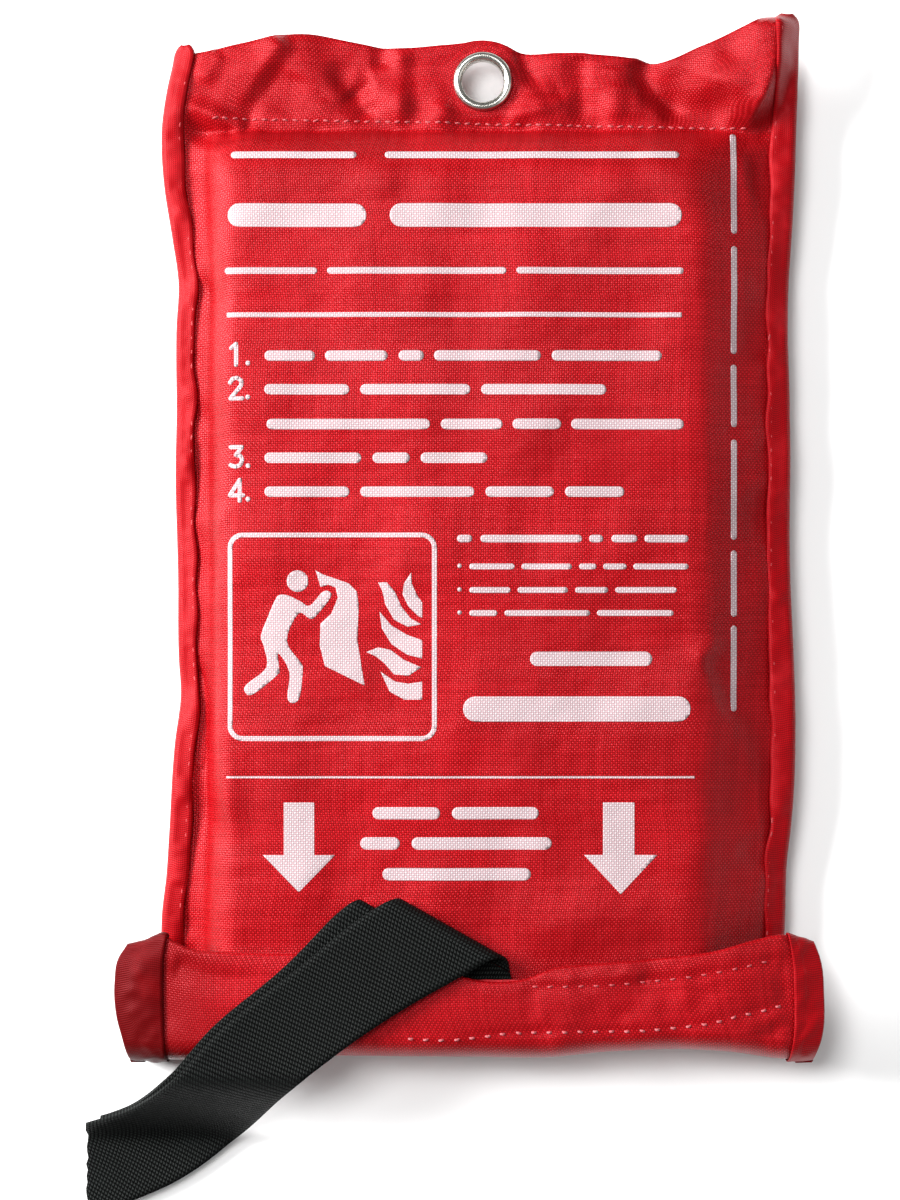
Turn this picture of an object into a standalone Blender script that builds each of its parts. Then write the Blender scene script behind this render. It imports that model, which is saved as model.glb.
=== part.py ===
"""Fire blanket folded in its soft wall pouch, lying on its back.

The origin is on the underside of the back panel, at the middle of the pouch. +Y runs towards the
hanging eyelet and +Z out of the front panel. Dimensions below are in millimetres; every mesh is
made in metres through point().
"""
import math

import bmesh
import bpy
from mathutils import Matrix, Vector

MM = 0.001

# Cloth and clearances
GAP = 0.3               # kept between pieces that touch
CLOTH = 0.6             # coated oxford cloth
TAPE = 0.5              # folded binding tape
WEBBING = 0.9           # pull tab webbing
LAYER_PITCH = WEBBING + GAP

# Folded blanket: 1.0 m square, folded in 7 across and in 4 along
BLANKET_X = (-75.5, 67.5)
BLANKET_Y = (-130.0, 114.0)
BLANKET_Z = (2.6, 20.1)
BLANKET_ROUND = 8.0

# Pouch
EDGE_X = 86.4           # cut edge of the panels, left and right
FLANGE_X = 80.4         # where the flat side seam ends and the panel starts to rise
BINDING_X = 87.5        # outer edge of the side bindings
BINDING_LEG_X = 81.0    # inner edge of the side bindings
SEAM_Z = 9.5            # mid plane of the side seams and of the header
SEAM_MOUTH_Z = 5.0      # the same at the mouth, where the seams lie lower
SEAM_FALL_Y = -95.0     # from here the seams start to fall towards the mouth
MOUTH_Y = -136.5        # lower edge of the front panel
CREASE_Y = -141.7       # lower edge of the back panel
HEADER_Y = 116.8        # the header is flat above this line
COVER_ROUND = BLANKET_ROUND + 0.6 + CLOTH
COVER_TOP_Z = BLANKET_Z[1] - BLANKET_ROUND + COVER_ROUND
CROWN = 1.2             # how far the front panel bulges over the middle of the blanket
TOP_EDGE = [(-86.4, 137.8), (-62.0, 142.4), (-50.0, 144.2), (-29.0, 140.9), (0.0, 142.0),
            (9.0, 140.0), (34.0, 138.0), (50.0, 136.2), (72.0, 141.7), (86.4, 147.0)]
SEAM_ROWS = [CREASE_Y, -139.5, MOUTH_Y, -126.0, -115.0, -105.0, -95.0, -75.0, -50.0, -25.0, 0.0,
             25.0, 50.0, 75.0, 92.0, 106.0]
THREAD_X = 82.2         # thread along the side bindings
LEFT_BINDING_TOP_Y = 141.5
RIGHT_BINDING_TOP_Y = 150.0
BINDING_LOW_Y = -139.5

# Hanging eyelet
EYELET_Y = 131.0
EYELET_HOLE_R = 5.9
EYELET_BARREL_R = 6.2
EYELET_FLANGE_R = 8.25
CLOTH_HOLE_R = 6.5

# Flap: a gusset that stands across the mouth and a lip that lies on the front
FLAP_X = (-101.2, 94.2)
FLAP_END_X = (-102.0, 95.0)
FLAP_FLAT_X = (-70.0, 62.0)
FLAP_DROP = 5.0
GUSSET_Y = -143.5       # outer face
GUSSET_LOW_Z = 0.9
LIP_Z = 25.9            # outer face
LIP_EDGE = [(-101.2, -112.5), (-70.0, -113.5), (-30.0, -113.5), (-14.0, -115.0),
            (-7.0, -118.0), (8.0, -120.2), (13.0, -119.5), (22.0, -115.5), (50.0, -113.5),
            (94.2, -110.5)]     # the lip's edge dips where the tabs fold over it
FLAP_BINDING_WIDTH = 10.0
FLAP_STATIONS = [-101.2, -92.0, -82.0, -70.0, -50.0, -30.0, -14.0, -7.0, 0.0, 8.0, 13.0, 22.0,
                 36.0, 50.0, 62.0, 74.0, 85.0, 94.2]
FASTENER_Y = (-136.0, -120.0)
HOOK_STRIP = 2.1
LOOP_STRIP = 1.0
HOOK_LEFT_X = (-69.0, -34.0)
HOOK_RIGHT_X = (13.0, 59.0)
LOOP_X = (-88.0, 82.0)

# Pull tabs: two 1 inch webbings that come out of the mouth and fold over the lip
TAB_WIDTH = 25.4
FOLD_DIRECTION = math.radians(150.6)
LEAD_DIRECTION = math.radians(100.0)
MOUTH_TURN = (-136.4, 19.6)
TAB_ROOT = [(-130.9, 6.5), (-131.0, 9.0), (-132.0, 12.4), (-135.0, 15.6), (-138.0, 17.4)]
TAB_A_LEAD_Z = 22.05
TAB_A_FOLD = (7.4, -118.4)
TAB_A_BEND_R = 2.9
TAB_B_FOLD = (-4.4, -116.9)
TAB_B_BEND_R = 1.7
TAB_A_ROUTE = [(-31.0, -117.6), (-50.5, -131.9), (-64.4, -143.2), (-77.0, -156.5),
               (-92.0, -168.0), (-112.0, -176.5)]
TAB_B_ROUTE = [(-36.0, -116.8), (-52.0, -130.4), (-66.0, -142.0), (-78.0, -155.5),
               (-91.5, -167.0), (-108.0, -174.6)]
DRAPE_START_Y = -145.5
DRAPE_RUN = 23.0
TAB_FLOOR_Z = 0.75

# Sewing thread
STITCH_HIGH = (0.35, 0.5)   # half width and height of the thread on a stitch
STITCH_LOW = (0.2, 0.25)    # and between two stitches
STITCH_PITCH = 4.5

FLAP_PIVOT = (0.0, -143.2, 0.6)
LIP_PIVOT = (0.0, -143.2, 25.1)


def point(x, y, z):
    return Vector((x, y, z)) * MM


def clear_scene():
    for obj in list(bpy.data.objects):
        bpy.data.objects.remove(obj, do_unlink=True)


def material(name, colour, roughness, metallic=0.0):
    made = bpy.data.materials.new(name)
    made.use_nodes = True
    shader = made.node_tree.nodes["Principled BSDF"]
    shader.inputs["Base Color"].default_value = (*colour, 1.0)
    shader.inputs["Roughness"].default_value = roughness
    shader.inputs["Metallic"].default_value = metallic
    return made


def add_object(name, bm, surface, pivot=(0.0, 0.0, 0.0), smooth=None):
    """Makes an object from bm with its origin at pivot, which is on its joint's axis."""
    bm.normal_update()
    mesh = bpy.data.meshes.new(name)
    bm.to_mesh(mesh)
    bm.free()
    origin = point(*pivot)
    mesh.transform(Matrix.Translation(-origin))
    if smooth:
        mesh.shade_smooth()
        mesh.set_sharp_from_angle(angle=math.radians(smooth))
    mesh.materials.append(surface)
    obj = bpy.data.objects.new(name, mesh)
    obj.location = origin
    bpy.context.scene.collection.objects.link(obj)
    return obj


def cloth_sheet(name, rows, thickness, surface, centred=False, pivot=(0.0, 0.0, 0.0)):
    """A sheet over a grid of points. Its thickness lies behind the face, or on both sides."""
    bm = bmesh.new()
    grid = [[bm.verts.new(point(*p)) for p in row] for row in rows]
    for low, high in zip(grid, grid[1:]):
        for i in range(len(low) - 1):
            bm.faces.new((low[i], low[i + 1], high[i + 1], high[i]))
    obj = add_object(name, bm, surface, pivot, smooth=40)
    solid = obj.modifiers.new("thickness", "SOLIDIFY")
    solid.thickness = thickness * MM
    solid.offset = 0.0 if centred else -1.0
    return obj


def loft(name, rings, caps, surface, pivot=(0.0, 0.0, 0.0)):
    """A closed solid through rings of points, whose ends are closed by the caps' faces."""
    bm = bmesh.new()
    loops = [[bm.verts.new(point(*p)) for p in ring] for ring in rings]
    count = len(rings[0])
    for low, high in zip(loops, loops[1:]):
        for i in range(count):
            j = (i + 1) % count
            bm.faces.new((low[i], low[j], high[j], high[i]))
    for loop in (loops[0], loops[-1]):
        for cap in caps:
            bm.faces.new([loop[i] for i in cap])
    bmesh.ops.recalc_face_normals(bm, faces=bm.faces[:])
    return add_object(name, bm, surface, pivot)


def block(name, x, y, z, surface, pivot=(0.0, 0.0, 0.0)):
    bm = bmesh.new()
    size = Matrix.Diagonal(((x[1] - x[0]) * MM, (y[1] - y[0]) * MM, (z[1] - z[0]) * MM, 1.0))
    centre = point((x[0] + x[1]) / 2, (y[0] + y[1]) / 2, (z[0] + z[1]) / 2)
    bmesh.ops.create_cube(bm, size=1.0, matrix=Matrix.Translation(centre) @ size)
    return add_object(name, bm, surface, pivot)


def thread_row(name, route, upright, surface, pivot=(0.0, 0.0, 0.0)):
    """One sewing thread along a route: a raised stitch, then a low stretch, over and over."""
    route = [Vector(p) for p in route]
    lengths = [0.0]
    for a, b in zip(route, route[1:]):
        lengths.append(lengths[-1] + (b - a).length)
    axes = [[(d, p[axis]) for d, p in zip(lengths, route)] for axis in range(3)]
    count = 2 * int(lengths[-1] / STITCH_PITCH) + 1
    places = [Vector([interpolate(axis, lengths[-1] * i / (count - 1)) for axis in axes])
              for i in range(count)]
    up = Vector(upright)
    rings = []
    for i, place in enumerate(places):
        along = (places[min(i + 1, count - 1)] - places[max(i - 1, 0)]).normalized()
        side = up.cross(along).normalized()
        half, height = STITCH_HIGH if i % 2 else STITCH_LOW
        low, high = place, place + up * height
        rings.append([low - side * half, low + side * half, high + side * half,
                      high - side * half])
    return loft(name, rings, [(0, 1, 2, 3)], surface, pivot)


def smooth_step(t):
    t = min(1.0, max(0.0, t))
    return t * t * (3.0 - 2.0 * t)


def interpolate(points, x):
    """Straight-line interpolation of y over rising x."""
    for (xa, ya), (xb, yb) in zip(points, points[1:]):
        if x <= xb:
            return ya + (yb - ya) * (x - xa) / (xb - xa)
    return points[-1][1]


def curve_point(points, t):
    """A point on the Catmull-Rom curve through 2-D points, with t from 0 to 1."""
    spans = len(points) - 1
    place = min(max(t, 0.0), 1.0) * spans
    i = min(int(place), spans - 1)
    f = place - i
    p1, p2 = Vector(points[i]), Vector(points[i + 1])
    p0 = Vector(points[i - 1]) if i > 0 else p1 * 2 - p2
    p3 = Vector(points[i + 2]) if i + 2 <= spans else p2 * 2 - p1
    return 0.5 * (2 * p1 + (p2 - p0) * f + (2 * p0 - 5 * p1 + 4 * p2 - p3) * f ** 2
                  + (3 * p1 - p0 - 3 * p2 + p3) * f ** 3)


def seam_z(y):
    fall = smooth_step((SEAM_FALL_Y - y) / (SEAM_FALL_Y - MOUTH_Y))
    return SEAM_Z + (SEAM_MOUTH_Z - SEAM_Z) * fall


def front_section(y):
    """The front panel's outer face across the pouch, as (x, z)."""
    flange = seam_z(y) + GAP / 2 + CLOTH
    centre_z = BLANKET_Z[1] - BLANKET_ROUND
    left = BLANKET_X[0] + BLANKET_ROUND
    right = BLANKET_X[1] - BLANKET_ROUND
    row = [(-EDGE_X, flange), (-82.0, flange), (-FLANGE_X, flange)]
    for degrees in (180.0, 157.5, 135.0, 112.5, 90.0):
        a = math.radians(degrees)
        row.append((left + COVER_ROUND * math.cos(a), centre_z + COVER_ROUND * math.sin(a)))
    middle = (left + right) / 2
    bulge = CROWN * smooth_step((y + 95.0) / 50.0) * smooth_step((95.0 - y) / 40.0)
    for i in range(1, 7):
        x = left + (right - left) * i / 7
        share = 1.0 - ((x - middle) / (middle - left)) ** 2
        row.append((x, COVER_TOP_Z + bulge * share))
    for degrees in (90.0, 75.0, 62.0):
        a = math.radians(degrees)
        row.append((right + COVER_ROUND * math.cos(a), centre_z + COVER_ROUND * math.sin(a)))
    last_x, last_z = row[-1]
    for share in (0.35, 0.7):
        row.append((last_x + (FLANGE_X - last_x) * share, last_z + (flange - last_z) * share ** 0.85))
    row += [(FLANGE_X, flange), (82.0, flange), (EDGE_X, flange)]
    return row


def back_section(y):
    """The back panel's outer face, its underside, across the pouch, as (x, z)."""
    flange = seam_z(y) - GAP / 2 - CLOTH
    left = BLANKET_X[0] + BLANKET_ROUND
    right = BLANKET_X[1] - BLANKET_ROUND
    row = [(-EDGE_X, flange), (-82.0, flange), (-FLANGE_X, flange)]
    for degrees in (90.0, 67.5, 45.0, 22.5, 0.0):
        a = math.radians(degrees)
        row.append((left - 8.9 * math.sin(a), flange * (1.0 - math.cos(a))))
    for i in range(1, 7):
        row.append((left + (right - left) * i / 7, 0.0))
    for degrees in (0.0, 22.5, 45.0, 67.5):
        a = math.radians(degrees)
        row.append((right + (FLANGE_X - right) * math.sin(a), flange * (1.0 - math.cos(a))))
    row += [(FLANGE_X, flange), (82.0, flange), (EDGE_X, flange)]
    return row


def header_rows(section, flange):
    """Rows of the flat header, from its lower line up to the wavy top edge."""
    rows = []
    for share in (0.0, 0.25, 0.5, 0.75, 1.0):
        rows.append([(x, HEADER_Y + (interpolate(TOP_EDGE, x) - HEADER_Y) * share, flange)
                     for x, z in section])
    return rows


def front_panel(surface, cutter):
    flange = SEAM_Z + GAP / 2 + CLOTH
    rows = [[(x, y, z) for x, z in front_section(y)] for y in SEAM_ROWS if y >= MOUTH_Y]
    centre_y = BLANKET_Y[1] - BLANKET_ROUND
    centre_z = BLANKET_Z[1] - BLANKET_ROUND
    section = front_section(centre_y)
    for degrees in (22.5, 45.0, 67.5, 90.0):
        a = math.radians(degrees)
        y = centre_y + COVER_ROUND * math.sin(a)
        share = (centre_z + COVER_ROUND * math.cos(a) - flange) / (COVER_TOP_Z - flange)
        rows.append([(x, y, flange + (z - flange) * share) for x, z in section])
    rows += header_rows(section, flange)
    panel = cloth_sheet("front_panel", rows, CLOTH, surface)
    cut(panel, cutter)


def back_panel(surface, cutter):
    rows = [[(x, y, z) for x, z in back_section(y)] for y in SEAM_ROWS]
    start_y = BLANKET_Y[1] - BLANKET_ROUND
    section = back_section(start_y)
    flange = SEAM_Z - GAP / 2 - CLOTH
    for degrees in (22.5, 45.0, 67.5):
        a = math.radians(degrees)
        y = start_y + (HEADER_Y - start_y) * math.sin(a)
        share = 1.0 - math.cos(a)
        rows.append([(x, y, z + (flange - z) * share) for x, z in section])
    rows += header_rows(section, flange)
    panel = cloth_sheet("back_panel", [row[::-1] for row in rows], CLOTH, surface)
    cut(panel, cutter)


def eyelet_cutter():
    """A plug that cuts the eyelet's hole in both layers of the header."""
    bm = bmesh.new()
    bmesh.ops.create_cone(bm, cap_ends=True, segments=28, radius1=CLOTH_HOLE_R * MM,
                          radius2=CLOTH_HOLE_R * MM, depth=8.0 * MM,
                          matrix=Matrix.Translation(point(0.0, EYELET_Y, SEAM_Z)))
    mesh = bpy.data.meshes.new("eyelet_cutter")
    bm.to_mesh(mesh)
    bm.free()
    cutter = bpy.data.objects.new("eyelet_cutter", mesh)
    cutter.hide_render = True
    cutter.display_type = "WIRE"
    bpy.context.scene.collection.objects.link(cutter)
    return cutter


def cut(obj, cutter):
    hole = obj.modifiers.new("eyelet_hole", "BOOLEAN")
    hole.operation = "DIFFERENCE"
    hole.solver = "EXACT"
    hole.object = cutter


def side_binding(name, side, top_y, surface):
    """Binding tape folded over both panels along one side. side is -1 or 1."""
    outer, leg = BINDING_X * side, BINDING_LEG_X * side
    inner = (BINDING_X - TAPE) * side
    reach = GAP / 2 + CLOTH + GAP
    rings = []
    for y in [BINDING_LOW_Y] + [y for y in SEAM_ROWS if y > BINDING_LOW_Y] + [HEADER_Y, top_y]:
        z = seam_z(y)
        section = [(outer, z - reach - TAPE), (leg, z - reach - TAPE), (leg, z - reach),
                   (inner, z - reach), (inner, z + reach), (leg, z + reach),
                   (leg, z + reach + TAPE), (outer, z + reach + TAPE)]
        rings.append([(x, y, z) for x, z in section])
    return loft(name, rings, [(0, 1, 2, 3), (0, 3, 4, 7), (4, 5, 6, 7)], surface)


def turned_ring(name, profile, surface):
    """A ring turned about the eyelet's axis. The profile is a closed loop of (radius, z)."""
    bm = bmesh.new()
    verts = [bm.verts.new(point(r, 0.0, z)) for r, z in profile]
    edges = [bm.edges.new((verts[i], verts[(i + 1) % len(verts)])) for i in range(len(verts))]
    bmesh.ops.spin(bm, geom=verts + edges, cent=(0, 0, 0), axis=(0, 0, 1), angle=2 * math.pi,
                   steps=28, use_merge=True)
    bmesh.ops.remove_doubles(bm, verts=bm.verts[:], dist=1e-7)
    bmesh.ops.translate(bm, verts=bm.verts[:], vec=point(0.0, EYELET_Y, 0.0))
    bmesh.ops.recalc_face_normals(bm, faces=bm.faces[:])
    return add_object(name, bm, surface, smooth=40)


def eyelet(surface):
    top = SEAM_Z + GAP / 2 + CLOTH + GAP
    low = SEAM_Z - GAP / 2 - CLOTH - GAP
    washer_low = low - 0.55
    turned_ring("eyelet_flange", [
        (EYELET_HOLE_R, washer_low - 0.9), (EYELET_HOLE_R, top + 1.0), (6.4, top + 1.45),
        (7.2, top + 1.5), (7.9, top + 1.0), (EYELET_FLANGE_R, top + 0.35),
        (EYELET_FLANGE_R, top), (EYELET_BARREL_R, top), (EYELET_BARREL_R, washer_low - GAP),
        (7.2, washer_low - GAP), (7.2, washer_low - 0.9)], surface)
    turned_ring("eyelet_washer", [
        (CLOTH_HOLE_R, low), (CLOTH_HOLE_R, washer_low), (EYELET_FLANGE_R, washer_low),
        (EYELET_FLANGE_R, low)], surface)


def lip_drop(x):
    beyond = max(FLAP_FLAT_X[0] - x, x - FLAP_FLAT_X[1], 0.0)
    return FLAP_DROP * (beyond / (FLAP_FLAT_X[0] - FLAP_X[0])) ** 2


def lip_edge_y(x):
    return interpolate(LIP_EDGE, x)


def flap_sheets(surface):
    lip_low_z = LIP_Z - CLOTH
    gusset_top = lip_low_z - 0.4
    rows = []
    for share in (0.0, 0.33, 0.66, 1.0):
        rows.append([(x, GUSSET_Y, GUSSET_LOW_Z + (gusset_top - lip_drop(x) - GUSSET_LOW_Z) * share)
                     for x in FLAP_STATIONS])
    cloth_sheet("flap_gusset", rows, CLOTH, surface, pivot=FLAP_PIVOT)
    rows = []
    for share in (0.0, 0.3, 0.55, 0.8, 1.0):
        rows.append([(x, GUSSET_Y + (lip_edge_y(x) - GUSSET_Y) * share, LIP_Z - lip_drop(x))
                     for x in FLAP_STATIONS])
    cloth_sheet("flap_lip", rows, CLOTH, surface, pivot=LIP_PIVOT)


def channel(edge, leg, near, far, turn):
    """Sections of tape folded over a sheet's end, as rings for each of two depths.

    edge and leg are the x of the tape's fold and of its inner edge; near and far are the tape's
    two outer faces at each x, and turn places (x, w) pairs at a depth.
    """
    inner = edge + (TAPE if leg > edge else -TAPE)
    ring = [(edge, near(edge)), (leg, near(leg)), (leg, near(leg) + TAPE),
            (inner, near(inner) + TAPE), (inner, far(inner) - TAPE), (leg, far(leg) - TAPE),
            (leg, far(leg)), (edge, far(edge))]
    return [[turn(x, w, end) for x, w in ring] for end in (0, 1)]


def flap_bindings(surface):
    caps = [(0, 1, 2, 3), (0, 3, 4, 7), (4, 5, 6, 7)]
    lip_low_y = GUSSET_Y + CLOTH + GAP
    for side, edge in (("left", FLAP_END_X[0]), ("right", FLAP_END_X[1])):
        leg = edge + (FLAP_BINDING_WIDTH if edge < 0 else -FLAP_BINDING_WIDTH)
        low = LIP_Z - CLOTH - GAP - TAPE
        high = LIP_Z + GAP + TAPE
        rings = channel(edge, leg, lambda x: low - lip_drop(x), lambda x: high - lip_drop(x),
                        lambda x, w, end: (x, (lip_low_y, lip_edge_y(edge) + 0.8)[end], w))
        loft(f"lip_{side}_binding", rings, caps, surface, pivot=LIP_PIVOT)
        front = GUSSET_Y - GAP - TAPE
        back = GUSSET_Y + CLOTH + GAP + TAPE
        top = low - lip_drop(edge) - GAP
        rings = channel(edge, leg, lambda x: front, lambda x: back,
                        lambda x, w, end: (x, w, (GUSSET_LOW_Z, top)[end]))
        loft(f"gusset_{side}_binding", rings, caps, surface, pivot=FLAP_PIVOT)


def fasteners(surface):
    low = COVER_TOP_Z + GAP
    block("hook_strip_left", HOOK_LEFT_X, FASTENER_Y, (low, low + HOOK_STRIP), surface)
    block("hook_strip_right", HOOK_RIGHT_X, FASTENER_Y, (low, low + HOOK_STRIP), surface)
    top = LIP_Z - CLOTH - GAP
    stations = [x for x in FLAP_STATIONS if LOOP_X[0] < x < LOOP_X[1]]
    stations = [LOOP_X[0]] + stations + [LOOP_X[1]]
    rows = [[(x, y, top - lip_drop(x)) for x in stations] for y in FASTENER_Y]
    cloth_sheet("loop_strip", rows, LOOP_STRIP, surface, pivot=LIP_PIVOT)


def seam_threads(surface):
    up = (0.0, 0.0, 1.0)
    z = SEAM_Z + GAP / 2 + CLOTH + GAP
    thread_row("header_stitching", [(-74.0, 120.6, z), (74.0, 117.6, z)], up, surface)
    for side, name in ((-1, "left_binding_stitching"), (1, "right_binding_stitching")):
        rise = GAP / 2 + CLOTH + GAP + TAPE + GAP
        rows = [y for y in SEAM_ROWS if y >= MOUTH_Y] + [HEADER_Y, 136.0]
        thread_row(name, [(THREAD_X * side, y, seam_z(y) + rise) for y in rows], up, surface)
    z = LIP_Z + GAP
    thread_row("flap_lower_stitching", [(-6.0, -136.6, z), (40.0, -134.7, z), (61.0, -131.0, z)],
               up, surface, pivot=LIP_PIVOT)
    thread_row("flap_upper_stitching", [(16.0, -122.6, z), (61.0, -118.6, z)], up, surface,
               pivot=LIP_PIVOT)


def blanket(surface):
    obj = block("folded_blanket", BLANKET_X, BLANKET_Y, BLANKET_Z, surface)
    bevel = obj.modifiers.new("rounded_folds", "BEVEL")
    bevel.width = BLANKET_ROUND * MM
    bevel.segments = 4


def fold_vectors():
    along = Vector((math.cos(FOLD_DIRECTION), math.sin(FOLD_DIRECTION)))
    across = Vector((along.y, -along.x))
    return along, across


def offset_path(path, distance):
    """Moves a (y, z) path sideways, away from the blanket."""
    moved = []
    for i, p in enumerate(path):
        before, after = path[max(i - 1, 0)], path[min(i + 1, len(path) - 1)]
        run = (after - before).normalized()
        moved.append(p + Vector((-run.y, run.x)) * distance)
    return moved


def mouth_path(level):
    """A tab's (y, z) path from the blanket's end, out of the mouth and over the panel's edge."""
    centre = Vector(MOUTH_TURN)
    radius = TAB_A_LEAD_Z - centre.y
    path = [curve_point(TAB_ROOT, i / 8) for i in range(8)]
    for degrees in (205.0, 180.0, 158.0, 135.0, 112.0, 90.0):
        a = math.radians(degrees)
        path.append(centre + Vector((math.cos(a), math.sin(a))) * radius)
    path.append(centre + Vector((0.8, radius)))
    return offset_path(path, level)


def tab_lead(name, level, fold, bend_r, surface):
    """The fixed length of a tab: sewn end, way out of the mouth, and the bend over the lip."""
    along, across = fold_vectors()
    lean = FOLD_DIRECTION - LEAD_DIRECTION
    fold_length = TAB_WIDTH / math.sin(lean)
    path = mouth_path(level)
    columns = []
    for j in range(5):
        hit = Vector(fold) + along * (fold_length * j / 4)
        mouth_y, lead_z = path[-1]
        mouth_x = hit.x - (hit.y - mouth_y) / math.tan(LEAD_DIRECTION)
        column = [(mouth_x, y, z) for y, z in path]
        for i in range(1, 5):
            share = i / 4
            column.append((mouth_x + (hit.x - mouth_x) * share,
                           mouth_y + (hit.y - mouth_y) * share, lead_z))
        for i in range(1, 9):
            a = math.pi * i / 8
            p = hit + along * (bend_r * a / math.tan(lean)) + across * (bend_r * math.sin(a))
            column.append((p.x, p.y, lead_z + bend_r * (1.0 - math.cos(a))))
        columns.append(column)
    rows = [list(row) for row in zip(*columns)]
    return cloth_sheet(name, rows, WEBBING, surface, centred=True)


def drape_height(level):
    """Height of a free tab over y: on the lip, then down past the mouth onto the floor."""
    top = TAB_A_LEAD_Z + 2 * TAB_A_BEND_R - LAYER_PITCH
    samples = []
    for i in range(201):
        y = -90.0 - 110.0 * i / 200
        fall = smooth_step((DRAPE_START_Y - y) / DRAPE_RUN)
        samples.append(Vector((y, top + (TAB_FLOOR_Z - top) * fall)))
    return [(p.x, p.y) for p in offset_path(samples, -level)][::-1]


def tab_tail(name, level, fold, bend_r, route, surface, pivot):
    """The free length of a tab, from the bend over the lip to its cut end on the floor."""
    along, across = fold_vectors()
    lean = FOLD_DIRECTION - LEAD_DIRECTION
    fold_length = TAB_WIDTH / math.sin(lean)
    shift = math.pi * bend_r / math.tan(lean)
    start = Vector(fold) + along * (shift + fold_length / 2) - across * GAP
    points = [tuple(start)] + route
    heights = drape_height(level)
    steps = 34
    rows = []
    for i in range(steps + 1):
        t = i / steps
        centre = curve_point(points, t)
        run = (curve_point(points, t + 0.01) - curve_point(points, t - 0.01)).normalized()
        square = Vector((run.y, -run.x)) * (TAB_WIDTH / 2)
        half = (along * (fold_length / 2)).lerp(square, smooth_step(t / 0.3))
        if t > 0.9:
            half = half.lerp(Vector((0.0, TAB_WIDTH / 2 / abs(run.x))), (t - 0.9) / 0.1)
        row = []
        for j in range(5):
            p = centre + half * (j / 2 - 1.0)
            row.append((p.x, p.y, interpolate(heights, p.y)))
        rows.append(row)
    return cloth_sheet(name, rows, WEBBING, surface, centred=True, pivot=pivot)


def tabs(surface, thread):
    along, across = fold_vectors()
    top_z = TAB_A_LEAD_Z + 2 * TAB_A_BEND_R + WEBBING / 2
    middle = Vector(TAB_A_FOLD) + along * 24.0
    pivot = (middle.x, middle.y, top_z)
    tab_lead("tab_a_lead", 0.0, TAB_A_FOLD, TAB_A_BEND_R, surface)
    tab_lead("tab_b_lead", LAYER_PITCH, TAB_B_FOLD, TAB_B_BEND_R, surface)
    tab_tail("tab_a_tail", LAYER_PITCH, TAB_A_FOLD, TAB_A_BEND_R, TAB_A_ROUTE, surface, pivot)
    tab_tail("tab_b_tail", 0.0, TAB_B_FOLD, TAB_B_BEND_R, TAB_B_ROUTE, surface, pivot)
    y = TAB_ROOT[0][0] - WEBBING / 2 - LAYER_PITCH - GAP
    thread_row("tab_stitching", [(-26.0, y, 7.6), (-6.0, y, 7.6)], (0.0, -1.0, 0.0), thread)
    return pivot


def build():
    clear_scene()
    red = material("red_oxford", (0.62, 0.01, 0.02), 0.55)
    tape = material("red_binding", (0.66, 0.01, 0.02), 0.45)
    black = material("black_webbing", (0.012, 0.014, 0.013), 0.7)
    strip = material("red_fastener", (0.45, 0.01, 0.015), 0.8)
    nickel = material("nickel", (0.75, 0.74, 0.72), 0.2, 1.0)
    thread = material("pink_thread", (0.8, 0.2, 0.22), 0.6)
    glass = material("glass_cloth", (0.85, 0.84, 0.8), 0.6)
    cutter = eyelet_cutter()
    back_panel(red, cutter)
    front_panel(red, cutter)
    side_binding("left_binding", -1, LEFT_BINDING_TOP_Y, tape)
    side_binding("right_binding", 1, RIGHT_BINDING_TOP_Y, tape)
    eyelet(nickel)
    flap_sheets(red)
    flap_bindings(tape)
    fasteners(strip)
    seam_threads(thread)
    blanket(glass)
    tabs(black, thread)


build()
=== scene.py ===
"""Visual model of a fire blanket in its soft wall pouch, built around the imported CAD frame.

Sizes in the code are millimetres in the CAD frame; meshes are made in metres. Heights of the cloth
come from functions of (x, y), so that panels, bindings, threads and print agree with each other.
"""

import math

import bmesh
import bpy
import numpy as np
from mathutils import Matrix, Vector


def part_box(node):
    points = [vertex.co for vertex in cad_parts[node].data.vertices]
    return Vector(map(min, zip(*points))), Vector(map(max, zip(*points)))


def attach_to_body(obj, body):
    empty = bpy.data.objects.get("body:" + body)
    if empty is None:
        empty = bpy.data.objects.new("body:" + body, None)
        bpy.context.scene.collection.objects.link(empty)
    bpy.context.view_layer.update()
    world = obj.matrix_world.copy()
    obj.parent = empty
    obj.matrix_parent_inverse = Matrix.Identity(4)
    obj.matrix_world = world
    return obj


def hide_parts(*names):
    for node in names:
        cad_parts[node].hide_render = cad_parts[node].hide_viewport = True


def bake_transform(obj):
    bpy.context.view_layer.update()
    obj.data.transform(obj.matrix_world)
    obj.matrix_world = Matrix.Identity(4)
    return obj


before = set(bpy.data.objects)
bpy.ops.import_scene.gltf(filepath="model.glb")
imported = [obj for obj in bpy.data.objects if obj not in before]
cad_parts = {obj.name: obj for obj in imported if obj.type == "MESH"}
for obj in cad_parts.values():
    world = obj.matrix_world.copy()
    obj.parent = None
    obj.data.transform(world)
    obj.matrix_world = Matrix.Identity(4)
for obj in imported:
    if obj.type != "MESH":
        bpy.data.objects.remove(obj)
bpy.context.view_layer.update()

MM = 0.001

# Cloth
CLOTH = 0.6
TAPE = 0.45
WEBBING = 0.9
SEAM_HALF = 0.15
FACE = SEAM_HALF + CLOTH        # a panel's outer face above the seam's middle

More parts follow.
